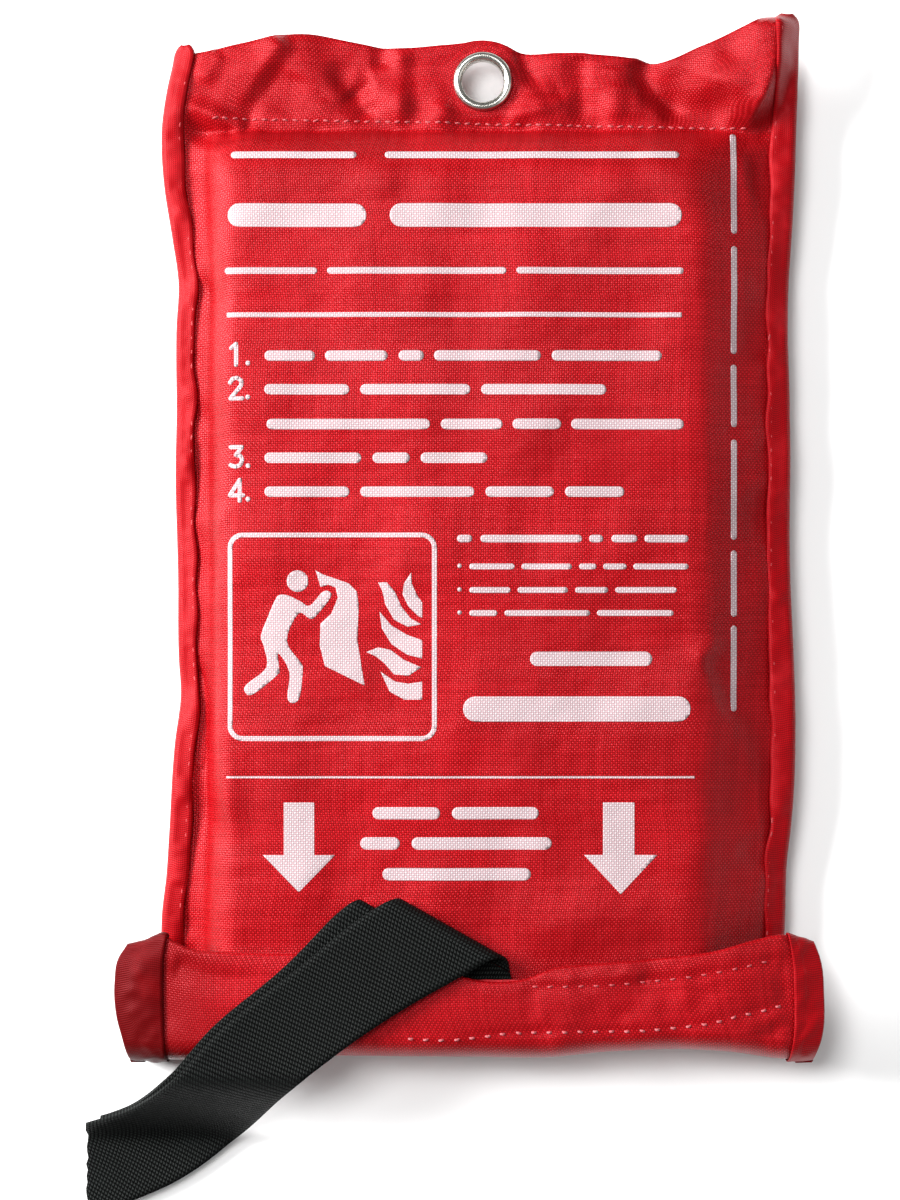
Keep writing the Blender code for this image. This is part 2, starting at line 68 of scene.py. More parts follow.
# Pouch
EDGE_X = 86.4
FLANGE_X = 80.4
SEAM_Z, SEAM_MOUTH_Z = 9.5, 5
SEAM_FALL_Y, MOUTH_Y, CREASE_Y = -95, -136.5, -141.4
HEADER_Y = 117
SHOULDER_Y = 101              # the blanket's end starts to round off here
TOP_Z = 21.3
CROWN = 1.1
BLANKET_LEFT, BLANKET_RIGHT = -67.5, 59.5
COVER_ROUND = 9.2
TOP_EDGE = [(-88, 138.4), (-79.7, 139.2), (-67.5, 141.8), (-51.5, 144.4), (-48, 144.3),
            (-36.6, 142.2), (-26.3, 140.5), (-10.8, 141.3), (2.1, 142.1), (5.5, 141.6),
            (9.8, 139.6), (22.7, 139.1), (35.6, 138.3), (44, 137.1), (46.8, 136.3),
            (61.3, 140.4), (81.9, 148.6), (88, 149.6)]
LEFT_EDGE = [(-140, -90.5), (-108, -90.2), (-103.6, -90), (-92, -88.7), (-80, -87.9),
             (-56, -86.5), (-41.4, -84.9), (-31.9, -85.4), (-8.1, -85.6), (15.7, -86.2),
             (39.8, -86), (60.8, -86), (74.5, -85.5), (87.1, -87.1), (102.5, -89.4),
             (117.6, -90), (129.1, -88.4), (139.2, -86.6), (150, -86)]
RIGHT_EDGE = [(-140, 85), (-103.6, 85), (-86.8, 85.6), (-79.8, 86.4), (-61.9, 87.5),
              (-44, 87.6), (-8.1, 86.3), (39.8, 86.2), (63.6, 85.6), (97.2, 87.2),
              (122, 88), (147.6, 88.8), (152, 88.9)]
BINDING_X = 87.5
LEFT_LEG_X, RIGHT_LEG_X = 82.3, 81.2
LEFT_THREAD_X, RIGHT_THREAD_X = 83.1, 82
BINDING_TOP = {-1: 141.2, 1: 149.6}
BINDING_LOW_Y = -139.4

# Hanging eyelet
EYELET_Y = 131
HOLE_R = 5.9
BARREL_R, GATHER_R = 6.5, 12  # cloth within the outer radius is pushed out to leave the inner one free
CUT_R = 1.35                    # cloth grid points this near the middle are cut out

# Flap
LIP_Z = 25.9
FLAP_DROP = 5
FLAP_FLAT_X = (-70, 62)
FLAP_DROP_RUN = 31.2            # past the flat part, the flap falls by FLAP_DROP over this
FLAP_ENDS = {-1: -101.8, 1: 94.4}
FLAP_BEND = {-1: -84, 1: 80}  # the ends' outlines take over from here
SPLIT_Z = 13                  # where the flap's two pieces meet
LIP_EDGE = [(-103, -111.5), (-99, -110.4), (-95, -109), (-90.7, -107.9), (-86.5, -109.2),
            (-81.8, -111.2), (-71.4, -112.3), (-53.5, -112.8), (-30, -113.8), (-14, -115.6),
            (-6, -119), (6, -120.5), (12, -119.6), (20, -116.6), (30.8, -115.5),
            (48.7, -114), (64.1, -112), (76.4, -108.8), (83.4, -107.6), (90.2, -108.9),
            (95.5, -111)]
FLAP_FRONT = [(-103, -143.2), (-89.3, -143.3), (-41, -142), (-21.6, -142.2), (0, -142.4),
              (17, -142.5), (32, -141.2), (52.9, -140.2), (69.4, -141), (82, -143),
              (90, -143.4), (95.5, -143.2)]
FLAP_LEFT = [(-150, -97.6), (-143, -98.2), (-137.5, -99.4), (-130.5, -101.2),
             (-121, -101.7), (-114, -100.4), (-110.5, -97.9), (-107, -95.2)]
FLAP_RIGHT = [(-150, 91.6), (-142, 91.9), (-136, 93.5), (-125, 94), (-113, 92.4),
              (-109, 90.6), (-106, 88.6)]
FLAP_BINDING = {-1: 13, 1: 8}
GUSSET_LOW_Z, GUSSET_ROUND = 2.65, 1.6
SPLIT_GAP = 0.04
CREASE_REACH, CREASE_FALL = 6.5, 9    # how far the rounded lower edge reaches up and down
HEM_ROUND = 0.85
HEM_BACK = 6

# Pull tabs
TAB_WIDTH = 25.4
ACROSS_COUNT = 17               # points across a tab
FOLD_DIRECTION = math.radians(150.6)
LEAD_DIRECTION = math.radians(100)
LAYER_PITCH = 1.2
MOUTH_TURN = (-136.4, 19.6)
TAB_ROOT = [(-130.9, 6.5), (-131, 9), (-132, 12.4), (-135, 15.6), (-138, 17.4)]
TAB_LEAD_Z = 22.05
TAB_ROOT_Z = 7.4                # the row of stitches that sews the tabs to the blanket
TAB_A = {"level": 0, "fold": (7.4, -118.4), "bend": 2.9, "tail_level": LAYER_PITCH,
         "route": [(-31, -117.6), (-50.5, -131.9), (-64.4, -143.2), (-77, -156.5),
                   (-92, -168), (-112, -176.5)]}
TAB_B = {"level": LAYER_PITCH, "fold": (-4.4, -116.9), "bend": 1.7, "tail_level": 0,
         "route": [(-36, -116.8), (-52, -130.4), (-66, -142), (-78, -155.5),
                   (-91.5, -167), (-108, -174.6)]}
DRAPE_START_Y, DRAPE_RUN, TAB_FLOOR_Z = -145.5, 23, 0.75

# Folded blanket: a 1.0 m square sheet, in 7 widths and 4 lengths
SHEET = 1000
WIDTHS, LENGTHS = 7, 4
GLASS_CLOTH = 0.43
GLASS_PITCH = 0.585             # from one layer to the next
STACK_ROUND = 8.2               # roundness of the stack's edges in section
STACK_INSET, STACK_GAP = 1.6, 0.6   # in from the CAD solid's sides, and from the panels
STACK_CORE_Z = 8                # layers are pressed towards this height above the solid's bottom


# ---------------------------------------------------------------- curves and heights

def smooth_step(t):
    t = np.clip(t, 0, 1)
    return t * t * (3 - 2 * t)


def smooth_line(points, x):
    """Cubic interpolation of y over rising x."""
    px, py = np.array(points, float).T
    slope = np.gradient(py, px)
    x = np.clip(np.asarray(x, float), px[0], px[-1])
    i = np.clip(np.searchsorted(px, x) - 1, 0, len(px) - 2)
    h = px[i + 1] - px[i]
    t = (x - px[i]) / h
    return (py[i] * (1 + 2 * t) * (1 - t) ** 2 + slope[i] * h * t * (1 - t) ** 2
            + py[i + 1] * t * t * (3 - 2 * t) + slope[i + 1] * h * t * t * (t - 1))


def curve(points, t):
    """Points on the Catmull-Rom curve through points, at parameters t from 0 to 1."""
    p = np.array(points, float)
    p = np.vstack([2 * p[0] - p[1], p, 2 * p[-1] - p[-2]])
    place = np.clip(np.asarray(t, float), 0, 1) * (len(p) - 3)
    i = np.minimum(place.astype(int), len(p) - 4)
    f = (place - i)[:, None]
    a, b, c, d = p[i], p[i + 1], p[i + 2], p[i + 3]
    return 0.5 * (2 * b + (c - a) * f + (2 * a - 5 * b + 4 * c - d) * f ** 2
                  + (3 * b - a - 3 * c + d) * f ** 3)


def ripples(x, y, size, seed, count=16):
    """A smooth random field of unit strength whose bumps are about size across."""
    rng = np.random.default_rng(seed)
    total = np.zeros(np.broadcast(x, y).shape)
    for _ in range(count):
        a, phase = rng.uniform(0, 2 * math.pi, 2)
        k = 2 * math.pi / size * rng.uniform(0.6, 1.4)
        total += np.sin(k * (x * math.cos(a) + y * math.sin(a)) + phase)
    return total / math.sqrt(count / 2)


def fold(x, y, path, height, left, right, power=2, ends=(0.25, 0.25)):
    """A ridge, or a valley for a negative height, along a path, with its own width on each side."""
    line = curve(path, np.linspace(0, 1, 6 * len(path)))
    best = np.full(x.shape, 1e9)
    side = np.zeros(x.shape)
    share = np.zeros(x.shape)
    for k, (a, b) in enumerate(zip(line, line[1:])):
        run = b - a
        length = max(float(run @ run), 1e-9)
        t = ((x - a[0]) * run[0] + (y - a[1]) * run[1]) / length
        tc = np.clip(t, 0, 1)
        dx, dy = x - a[0] - tc * run[0], y - a[1] - tc * run[1]
        d = np.hypot(dx, dy)
        near = d < best
        best = np.where(near, d, best)
        side = np.where(near, run[0] * dy - run[1] * dx, side)
        share = np.where(near, (k + tc) / (len(line) - 1), share)
    width = np.where(side > 0, left, right)
    taper = smooth_step(share / max(ends[0], 1e-6)) * smooth_step((1 - share) / max(ends[1], 1e-6))
    # Two nearly flat facets that meet in a crease; a higher power makes the crease rounder
    blunt = 0.08 * power ** 1.6
    tent = 1 - np.sqrt((best / (1.8 * width)) ** 2 + blunt ** 2)
    foot = 0.07
    return height * taper * foot * np.logaddexp(0, tent / foot) / (1 - blunt)


def fold_sum(x, y, folds, ends, scale=1):
    """The sum of a table of folds: path, height, width on its left and right, sharpness."""
    z = np.zeros(np.broadcast(x, y).shape)
    for path, height, left, right, power in folds:
        z += scale * fold(x, y, path, height, left, right, power, ends)
    return z


def seam_z(y):
    return SEAM_Z + (SEAM_MOUTH_Z - SEAM_Z) * smooth_step((SEAM_FALL_Y - y) / (SEAM_FALL_Y - MOUTH_Y))


def flank_table():
    """Share of the rise from the seam to the top, over x."""
    centre = TOP_Z - COVER_ROUND
    flange = SEAM_Z + FACE
    xs, zs = [-90, -FLANGE_X], [flange, flange]
    for x, first, last, count in ((BLANKET_LEFT, 178, 90, 24), (BLANKET_RIGHT, 90, 66, 8)):
        for a in np.radians(np.linspace(first, last, count)):
            xs.append(x + COVER_ROUND * math.cos(a))
            zs.append(centre + COVER_ROUND * math.sin(a))
    x0, z0 = xs[-1], zs[-1]
    for s in np.linspace(0.1, 1, 10):
        xs.append(x0 + (FLANGE_X + 0.6 - x0) * s)
        zs.append(z0 + (flange - z0) * s ** 0.82)
    xs.append(90)
    zs.append(flange)
    x = np.arange(-90, 90.01, 0.1)
    share = (np.interp(x, xs, zs) - flange) / (TOP_Z - flange)
    soft = []
    for reach in (0.9, 4.2):
        kernel = np.exp(-(np.arange(-120, 121) * 0.1 / reach) ** 2)
        padded = np.pad(share, 120, mode="edge")
        soft.append(np.convolve(padded, kernel / kernel.sum(), "valid"))
    blend = smooth_step((x - 40) / 12) * smooth_step((82 - x) / 7)
    return x, soft[0] + (soft[1] - soft[0]) * blend


FLANK = flank_table()

HEADER_RELIEF = 1.35            # scale of the header's fold heights
# Folds: path, height, width on its left, width on its right, sharpness
HEADER_FOLDS = [
    ([(-70.3, 121), (-64, 132), (-55.2, 144)], 1.9, 8, 2.4, 1.4),
    ([(-43.1, 137.5), (-37.5, 129.1), (-30.5, 130.6)], -1.4, 3.4, 2.2, 1.4),
    ([(-31.1, 120), (-37.5, 128.6)], -1.1, 3.2, 2.4, 1.5),
    ([(-28.1, 134), (-28.1, 142.5)], -1.3, 2.2, 2.4, 1.6),
    ([(-23.5, 117.5), (-23, 140)], 1.2, 3.6, 2.2, 1.7),
    ([(21.6, 124), (18.5, 127.7), (12.6, 134.1), (9, 141)], -1.3, 2, 4.4, 1.4),
    ([(4.5, 119), (13, 122.3), (22, 127)], 1.1, 5, 1.8, 1.5),
    ([(27.5, 117.5), (27.5, 139)], -1, 3.2, 2, 1.6),
    ([(31, 124.5), (45, 126)], 0.5, 3, 3, 2),
    ([(61, 118), (47.6, 129.1), (45, 138)], -2, 2.6, 3.2, 1.3),
    ([(71.5, 114.5), (78.5, 127), (81, 139), (82, 149.5)], 8, 18, 3, 1.2),
    ([(73.5, 114), (81, 124.5), (85, 134)], -1, 2, 3, 1.5),
    ([(-84, 120.8), (-74.2, 114), (-69, 115.5)], -1.5, 2.2, 2, 1.3),
    ([(-84, 126.5), (-76, 121.2), (-66, 118.5)], 1.2, 2.6, 2, 1.4),
    ([(-82, 111), (-75, 109), (-66, 111.5)], 0.9, 2.4, 2.4, 1.5),
    ([(-79, 130), (-74, 139)], 0.8, 3, 2, 1.6),
    ([(-58, 120), (-52, 133)], -0.7, 4, 3, 1.8),
    ([(-14, 118.5), (-11, 125)], 0.6, 2.5, 2, 1.7),
    ([(35, 118), (39, 135)], 0.6, 3.5, 2.5, 1.8),
    ([(54, 121), (66, 124), (78, 129)], -0.7, 3, 3, 1.6),
    ([(-47, 118.5), (-45, 126)], 0.6, 2.2, 2.2, 1.7),
    ([(66, 136), (74, 146)], -0.6, 2, 3, 1.6),
]
FRONT_FOLDS = [
    ([(76.5, 91), (73.5, 104), (71.7, 112)], 0.9, 1.8, 1.6, 1.6),
    ([(-29, 96), (-27, 110)], 0.6, 5, 4, 2),
    ([(-17, 60), (-13, 86)], 0.6, 5, 5, 2),
    ([(1, 10), (8, 25), (15, 38)], 0.6, 8, 6, 2),
    ([(-71.5, -88), (-75, -77.3), (-77.6, -67.8), (-79.2, -56), (-80.6, -41.4),
      (-83.4, -28)], -1.9, 2.4, 2.6, 1.5),
    ([(-68.5, -84), (-71.5, -70), (-74, -54), (-75, -40)], 0.9, 2.5, 3, 1.7),
    ([(-81, -112), (-85.5, -92)], -0.9, 1.8, 1.8, 1.5),
    ([(66, -20), (58, 8), (49.6, 34)], -0.9, 9, 8, 2),
    ([(71.5, -50), (66.5, -38), (62.5, -28)], -1.6, 1.8, 3.4, 1.4),
    ([(58.5, -33.5), (66.5, -24)], 0.9, 2.2, 2, 1.6),
    ([(83, -106), (78, -80), (75.6, -64), (66, -44), (53, -20)],
     1.2, 7, 3, 1.5),
    ([(3, -107), (30, -102.5), (62, -107)], 0.8, 7, 6, 2),
    ([(-60, -104), (-48, -88), (-44, -70)], 0.5, 6, 5, 2),
    ([(-82, 78), (-76, 70), (-70, 66)], -0.8, 2.6, 2.2, 1.6),
    ([(-83, 40), (-77, 36), (-71, 37.5)], -0.6, 2.6, 2.4, 1.7),
    ([(-82, 4), (-76, 8), (-70, 7)], 0.7, 2.6, 2.6, 1.7),
    ([(70, 60), (77, 55), (83, 56)], -0.8, 2.6, 2.2, 1.6),
    ([(70, 12), (77, 18), (83, 18)], 0.7, 2.6, 2.6, 1.7),
    ([(71, -82), (77, -88), (82, -87)], -0.7, 2.6, 2.6, 1.7),
    ([(40, 112), (52, 104), (60, 88)], 0.6, 5, 4, 1.9),
    ([(-62, 100), (-66, 82), (-64, 60)], 0.5, 4.5, 4, 1.9),
]


def header_wave(x, y):
    """Folds that both layers of the header share."""
    z = fold_sum(x, y, HEADER_FOLDS, (0.3, 0.12), HEADER_RELIEF)
    z += 0.2 * ripples(x, y, 13, 3) + 0.4 * ripples(x, y, 32, 4)
    near_seam = np.exp(-((y - 119.5) / 6) ** 2)
    z += 0.28 * near_seam * ripples(x, y * 0.35, 8, 5)
    mask = smooth_step((y - 108) / 10)
    held = smooth_step((np.hypot(x, y - EYELET_Y) - 8.6) / 5)   # the eyelet clamps the cloth flat
    return z * mask * held


def front_wave(x, y):
    """Folds of the front panel alone."""
    z = fold_sum(x, y, FRONT_FOLDS, (0.3, 0.3))
    z += 0.30 * ripples(x, y, 46, 7) + 0.10 * ripples(x, y, 19, 8) + 0.03 * ripples(x, y, 7, 9)
    flank = np.exp(-((np.abs(x + 2) - 76) / 7) ** 2)
    z += 0.30 * flank * ripples(x * 0.5, y, 17, 10)
    mask = smooth_step((HEADER_Y - y) / 9) * (0.25 + 0.75 * smooth_step((y + 118) / 8))
    return z * mask


def shoulder(y):
    t = np.clip((y - SHOULDER_Y) / (HEADER_Y - 0.2 - SHOULDER_Y), 0, 1)
    return (1 - t ** 2.4) ** 0.8


def front_height(x, y):
    """The front panel's outer face."""
    flange = seam_z(y) + FACE
    middle = (BLANKET_LEFT + BLANKET_RIGHT) / 2
    crown = CROWN * np.clip(1 - ((x - middle) / 64) ** 2, 0, 1)
    crown = crown * smooth_step((y + 112) / 55) * smooth_step((100 - y) / 40)
    rise = np.interp(x, *FLANK) * shoulder(y)
    return flange + (TOP_Z + crown - flange) * rise + header_wave(x, y) + front_wave(x, y)


def back_height(x, y):
    """The back panel's outer face, its underside."""
    flange = seam_z(y) - FACE
    across = np.clip(np.maximum((BLANKET_LEFT - x) / 8.9, (x - BLANKET_RIGHT) / 20.9), 0, 1)
    up = 1 - np.sqrt(np.clip(1 - across ** 2, 0, 1))
    ends = smooth_step((y - 104) / 12.6)
    up = 1 - (1 - up) * (1 - ends)
    soft = 0.25 * (ripples(x, y, 30, 12) + 0.4 * ripples(x, y, 12, 13)) * up
    return flange * up + header_wave(x, y) + np.maximum(soft, 0)


def set_edges(x, y, z):
    """Moves the sides in and out along the wavy edges, and lets a drawn-in side hang lower."""
    left = smooth_line(LEFT_EDGE, y) + BINDING_X
    right = smooth_line(RIGHT_EDGE, y) - BINDING_X
    on_left = smooth_step((-x - 70) / 17.5)
    on_right = smooth_step((x - 70) / 17.5)
    hang = smooth_step((np.abs(x) - 79) / 8.5)
    low = np.where(x < 0, np.clip(1.1 * left, 0, 3), np.clip(-0.9 * right, 0, 2)) + 0.5
    z = z - low * hang + 0.35 * hang * ripples(y, y * 0, 24, 14)
    return x + left * on_left + right * on_right, y, z


# ---------------------------------------------------------------- meshes

def new_object(name, mesh, material):
    mesh.materials.append(material)
    obj = bpy.data.objects.new(name, mesh)
    bpy.context.scene.collection.objects.link(obj)
    return obj


def mesh_object(name, bm, material, smooth=True):
    mesh = bpy.data.meshes.new(name)
    bm.to_mesh(mesh)
    bm.free()
    if smooth:
        mesh.shade_smooth()
    return new_object(name, mesh, material)


def grid_object(name, grid, uv, material, drop=None):
    """A smooth sheet over a grid of points in mm, with its flat position in mm as UVs."""
    n, m = grid.shape[:2]
    index = np.arange(n * m).reshape(n, m)
    before, after = index[:, :-1], index[:, 1:]
    quads = np.stack([before[:-1], after[:-1], after[1:], before[1:]], -1).reshape(-1, 4)
    if drop is not None:
        quads = quads[~drop.reshape(-1)[quads].any(axis=1)]
    used = np.unique(quads)
    renumber = np.full(n * m, -1)
    renumber[used] = np.arange(len(used))
    quads = renumber[quads]
    mesh = bpy.data.meshes.new(name)
    mesh.from_pydata((grid.reshape(-1, 3)[used] * MM).tolist(), [], quads.tolist())
    layer = mesh.uv_layers.new(name="cloth")
    flat = (uv.reshape(-1, 2)[used] * MM)[quads.reshape(-1)]
    layer.data.foreach_set("uv", flat.astype(np.float32).ravel())
    mesh.shade_smooth()
    return new_object(name, mesh, material)


def thicken(obj, thickness, offset=-1):
    solid = obj.modifiers.new("thickness", "SOLIDIFY")
    solid.thickness = thickness * MM
    solid.offset = offset
    solid.use_quality_normals = True


def arc_length(grid, axis):
    steps = np.linalg.norm(np.diff(grid, axis=axis), axis=-1)
    zero = np.zeros_like(np.take(steps, [0], axis=axis))
    return np.concatenate([zero, np.cumsum(steps, axis=axis)], axis=axis)


def cloth(name, grid, material, thickness, offset=-1, flip=False, drop=None):
    """A thick sheet over a grid, with arc lengths as UVs; flip turns it over."""
    uv = np.stack([arc_length(grid, 1), arc_length(grid, 0)], -1)
    if flip:
        grid, uv = grid[:, ::-1], uv[:, ::-1]
        drop = drop[:, ::-1]
    obj = grid_object(name, grid, uv, material, drop)
    thicken(obj, thickness, offset)
    return obj


def attach(obj, body, node):
    """Puts a piece on a CAD body, in the place of one of its nodes."""
    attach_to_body(obj, body)
    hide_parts(node)


def disc(cx, cy, radius, count):
    return [(cx + radius * math.cos(a), cy + radius * math.sin(a))
            for a in np.linspace(0, 2 * math.pi, count, endpoint=False)]


def tube(bm, loops):
    """Faces between loops of vertices, and caps on both ends."""
    for low, high in zip(loops, loops[1:]):
        for k in range(len(low)):
            j = (k + 1) % len(low)
            bm.faces.new((low[k], low[j], high[j], high[k]))
    bm.faces.new(loops[0][::-1])
    bm.faces.new(loops[-1])


def stitches(name, place_on, route, facing, pitch, length, radius, material, sink=0.3):
    """A row of separate sewn stitches, each a short bowed thread that dives into the cloth."""
    up = Vector(facing).normalized()
    along = np.concatenate([[0], np.cumsum(np.linalg.norm(np.diff(route, axis=0), axis=1))])
    rng = np.random.default_rng(len(name) * 7 + 1)
    bm = bmesh.new()
    sides, rings = 8, 9

    def place(s):
        return Vector([np.interp(s, along, route[:, k]) for k in range(3)])

    for i in range(int(along[-1] / pitch)):
        start = pitch * (i + 0.5) - length / 2 + rng.uniform(-0.12, 0.12)
        slant = rng.uniform(-0.22, 0.22)
        loops = []
        for r in range(rings):
            t = r / (rings - 1)
            s = start + length * t
            centre = place(s)
            run = (place(s + 0.2) - place(s - 0.2)).normalized()
            side = up.cross(run).normalized()
            bow = math.sin(math.pi * t) ** 0.55
            centre = centre + up * (bow * (radius + sink) - sink) + side * slant * (t - 0.5) * 2
            thick = radius * (0.45 + 0.55 * math.sin(math.pi * t) ** 0.5)
            loops.append([bm.verts.new((centre + side * (thick * math.cos(a)) + up
                                        * (thick * 0.8 * math.sin(a))) * MM)
                          for a in [2 * math.pi * k / sides for k in range(sides)]])
        tube(bm, loops)
    bmesh.ops.recalc_face_normals(bm, faces=bm.faces[:])
    body, node = place_on
    attach(mesh_object(name, bm, material), body, node)


# ---------------------------------------------------------------- materials

class Nodes:
    """Builds one node material."""

    def __init__(self, name):
        self.material = bpy.data.materials.new(name)
        self.material.use_nodes = True
        self.tree = self.material.node_tree
        self.tree.nodes.clear()
        self.shader = self.node("ShaderNodeBsdfPrincipled")
        out = self.node("ShaderNodeOutputMaterial")
        self.tree.links.new(self.shader.outputs[0], out.inputs["Surface"])

    def node(self, kind, **settings):
        made = self.tree.nodes.new(kind)
        for key, value in settings.items():
            setattr(made, key, value)
        return made

    def feed(self, socket, value):
        if isinstance(value, bpy.types.NodeSocket):
            self.tree.links.new(value, socket)
        else:
            socket.default_value = value

    def math(self, operation, a, b=0):
        made = self.node("ShaderNodeMath", operation=operation)
        self.feed(made.inputs[0], a)
        self.feed(made.inputs[1], b)
        return made.outputs[0]

    def plus(self, a, b):
        return self.math("ADD", a, b)

    def times(self, a, b):
        return self.math("MULTIPLY", a, b)

    def wave(self, value, half_length):
        """A sine over a length in mm from one crossing to the next."""
        return self.math("SINE", self.times(value, math.pi / (half_length * MM)))

    def mix(self, factor, a, b):
        made = self.node("ShaderNodeMix", data_type="RGBA", blend_type="MIX")
        self.feed(made.inputs["Factor"], factor)
        self.feed(made.inputs[6], a)
        self.feed(made.inputs[7], b)
        return made.outputs[2]

    def noise(self, vector, scale, detail=3, roughness=0.5):
        made = self.node("ShaderNodeTexNoise")
        self.feed(made.inputs["Vector"], vector)
        made.inputs["Scale"].default_value = scale
        made.inputs["Detail"].default_value = detail
        made.inputs["Roughness"].default_value = roughness
        return made.outputs["Fac"]

    def scaled(self, vector, scale):
        made = self.node("ShaderNodeVectorMath", operation="MULTIPLY")
        self.feed(made.inputs[0], vector)
        made.inputs[1].default_value = scale
        return made.outputs[0]

    def spread(self, value, low, high, out_low=0, out_high=1):
        made = self.node("ShaderNodeMapRange", interpolation_type="SMOOTHSTEP")
        self.feed(made.inputs["Value"], value)
        for key, number in (("From Min", low), ("From Max", high), ("To Min", out_low),
                            ("To Max", out_high)):
            made.inputs[key].default_value = number
        return made.outputs["Result"]

    def place(self):
        return self.node("ShaderNodeTexCoord").outputs["Object"]

    def flat(self):
        made = self.node("ShaderNodeUVMap", uv_map="cloth")
        split = self.node("ShaderNodeSeparateXYZ")
        self.tree.links.new(made.outputs[0], split.inputs[0])
        return made.outputs[0], split.outputs[0], split.outputs[1]

    def bump(self, height, depth, strength=1, normal=None):
        made = self.node("ShaderNodeBump")
        made.inputs["Strength"].default_value = strength
        made.inputs["Distance"].default_value = depth * MM
        self.feed(made.inputs["Height"], height)
        if normal is not None:
            self.feed(made.inputs["Normal"], normal)
        return made.outputs[0]

    def finish(self, colour, roughness, normal, **values):
        self.feed(self.shader.inputs["Base Color"], colour)
        self.feed(self.shader.inputs["Roughness"], roughness)
        self.feed(self.shader.inputs["Normal"], normal)
        for key, value in values.items():
            self.shader.inputs[key.replace("_", " ")].default_value = value
        return self.material


RED_SHINE = {"Sheen_Roughness": 0.3, "Sheen_Tint": (1, 0.2, 0.22, 1),
             "Specular_Tint": (1, 0.17, 0.20, 1)}
OXFORD_CELL = 0.64
PAINTED_SHADE_END_X = (-0.090, -0.064)   # metres, along the flap: the x range over which painted shade darkens the flap's left end


def oxford(name, base, deep, pale, rough=0.34, sheen=0.02, ink=None, painted_shade_end=False):
    """Coated oxford cloth: a plain weave, with thread-by-thread variation and soft wear; optionally
    painted shade on the flap's left end.
    """
    n = Nodes(name)
    uv, u, v = n.flat()
    place = n.place()
    wobble = n.times(n.math("SUBTRACT", n.noise(place, 420, 3), 0.5), 2.2)
    turn, repeat = math.pi / (OXFORD_CELL * MM), 1 / (2 * OXFORD_CELL * MM)
    warp = n.math("SINE", n.plus(n.times(u, turn), wobble))
    weft = n.math("SINE", n.plus(n.times(v, turn), wobble))
    cross = n.times(warp, weft)
    knuckle = n.math("POWER", n.math("ABSOLUTE", cross), 0.7)
    lifted = n.spread(cross, -0.35, 0.35, 0.5, 1)
    height = n.times(knuckle, lifted)
    threads_u = n.noise(n.scaled(uv, (repeat, 18, 1)), 1, 1)
    threads_v = n.noise(n.scaled(uv, (18, repeat, 1)), 1, 1)
    slub = n.plus(threads_u, threads_v)
    broad = n.noise(place, 24, 4, 0.6)
    colour = n.mix(n.spread(height, 0.05, 0.75), deep, base)
    colour = n.mix(n.spread(cross, 0.15, 0.85, 0, 0.42), colour, pale)
    colour = n.mix(n.spread(slub, 0.75, 1.3, 0, 0.16), colour, pale)
    colour = n.mix(n.spread(broad, 0.35, 0.72, 0, 0.34), colour, deep)
    worn = n.noise(place, 130, 5, 0.75)
    colour = n.mix(n.spread(worn, 0.62, 0.8, 0, 0.22), colour, pale)
    # Painted shade: the cloth turns to the deep red towards the flap's left end
    if painted_shade_end:
        across = n.node("ShaderNodeSeparateXYZ")
        n.feed(across.inputs[0], place)
        colour = n.mix(n.spread(across.outputs[0], *PAINTED_SHADE_END_X, 0.8, 0), colour, deep)
    if ink:
        cover = n.spread(n.plus(height, n.times(n.noise(place, 900, 2), 0.5)),
                         0.16, 0.34, 0.72, 1)
        shade = n.mix(n.spread(height, 0, 0.8), ink[1], ink[0])
        colour = n.mix(cover, colour, shade)
    roughness = n.plus(rough - 0.1, n.times(n.noise(place, 60, 3), 0.2))
    normal = n.bump(n.noise(place, 210, 4, 0.6), 0.16, 0.5)
    normal = n.bump(height, 0.12, 0.9, normal)
    return n.finish(colour, roughness, normal, Sheen_Weight=sheen, Specular_IOR_Level=0.5,
                    **RED_SHINE)


def ribbed_tape(name, base, deep, pale, gloss):
    """Binding tape: fine cross ribs with a smoother sheen."""
    n = Nodes(name)
    _, u, v = n.flat()
    place = n.place()
    ribs = n.wave(v, 0.62 / 2)
    cords = n.wave(u, 0.55 / 2)
    height = n.plus(n.times(ribs, 0.35),
                    n.plus(n.times(cords, 0.18), 0.5))
    broad = n.noise(place, 70, 4, 0.6)
    colour = n.mix(n.spread(height, 0.1, 0.9), deep, base)
    colour = n.mix(n.spread(broad, 0.5, 0.8, 0, 0.35), colour, pale)
    roughness = n.plus(0.36, n.times(n.noise(place, 150, 3), 0.22))
    normal = n.bump(n.noise(place, 260, 4, 0.6), 0.2, 0.55)
    normal = n.bump(height, 0.07, 0.9, normal)
    return n.finish(colour, roughness, normal, Sheen_Weight=0.04, Specular_IOR_Level=gloss,
                    **RED_SHINE)


def webbing_weave(name):
    """Black webbing: rows of raised floats set off by half a float from row to row."""
    n = Nodes(name)
    uv, u, v = n.flat()
    place = n.place()
    row, run = 1.5 * MM, 1.3 * MM
    band = n.math("DIVIDE", v, run)
    slant = n.plus(n.math("DIVIDE", u, row), n.times(band, 0.5))
    bumps = n.times(n.math("SINE", n.times(slant, 2 * math.pi)),
                   n.math("SINE", n.times(band, math.pi)))
    height = n.math("POWER", n.math("ABSOLUTE", bumps), 0.6)
    fibres = n.noise(n.scaled(uv, (9000, 700, 1)), 1, 2)
    height = n.plus(n.times(height, 0.85), n.times(fibres, 0.15))
    colour = n.mix(n.spread(height, 0.55, 0.98), (0.0001, 0.0002, 0.0002, 1),
                   (0.0120, 0.0150, 0.0136, 1))
    dust = n.noise(place, 90, 4, 0.7)
    colour = n.mix(n.spread(dust, 0.55, 0.8, 0, 0.35), colour, (0.006, 0.008, 0.0075, 1))
    roughness = n.plus(0.42, n.times(n.noise(place, 200, 3), 0.25))
    normal = n.bump(height, 0.34, 1)
    return n.finish(colour, roughness, normal, Sheen_Weight=0.004, Sheen_Roughness=0.4,
                    Specular_IOR_Level=0.09)


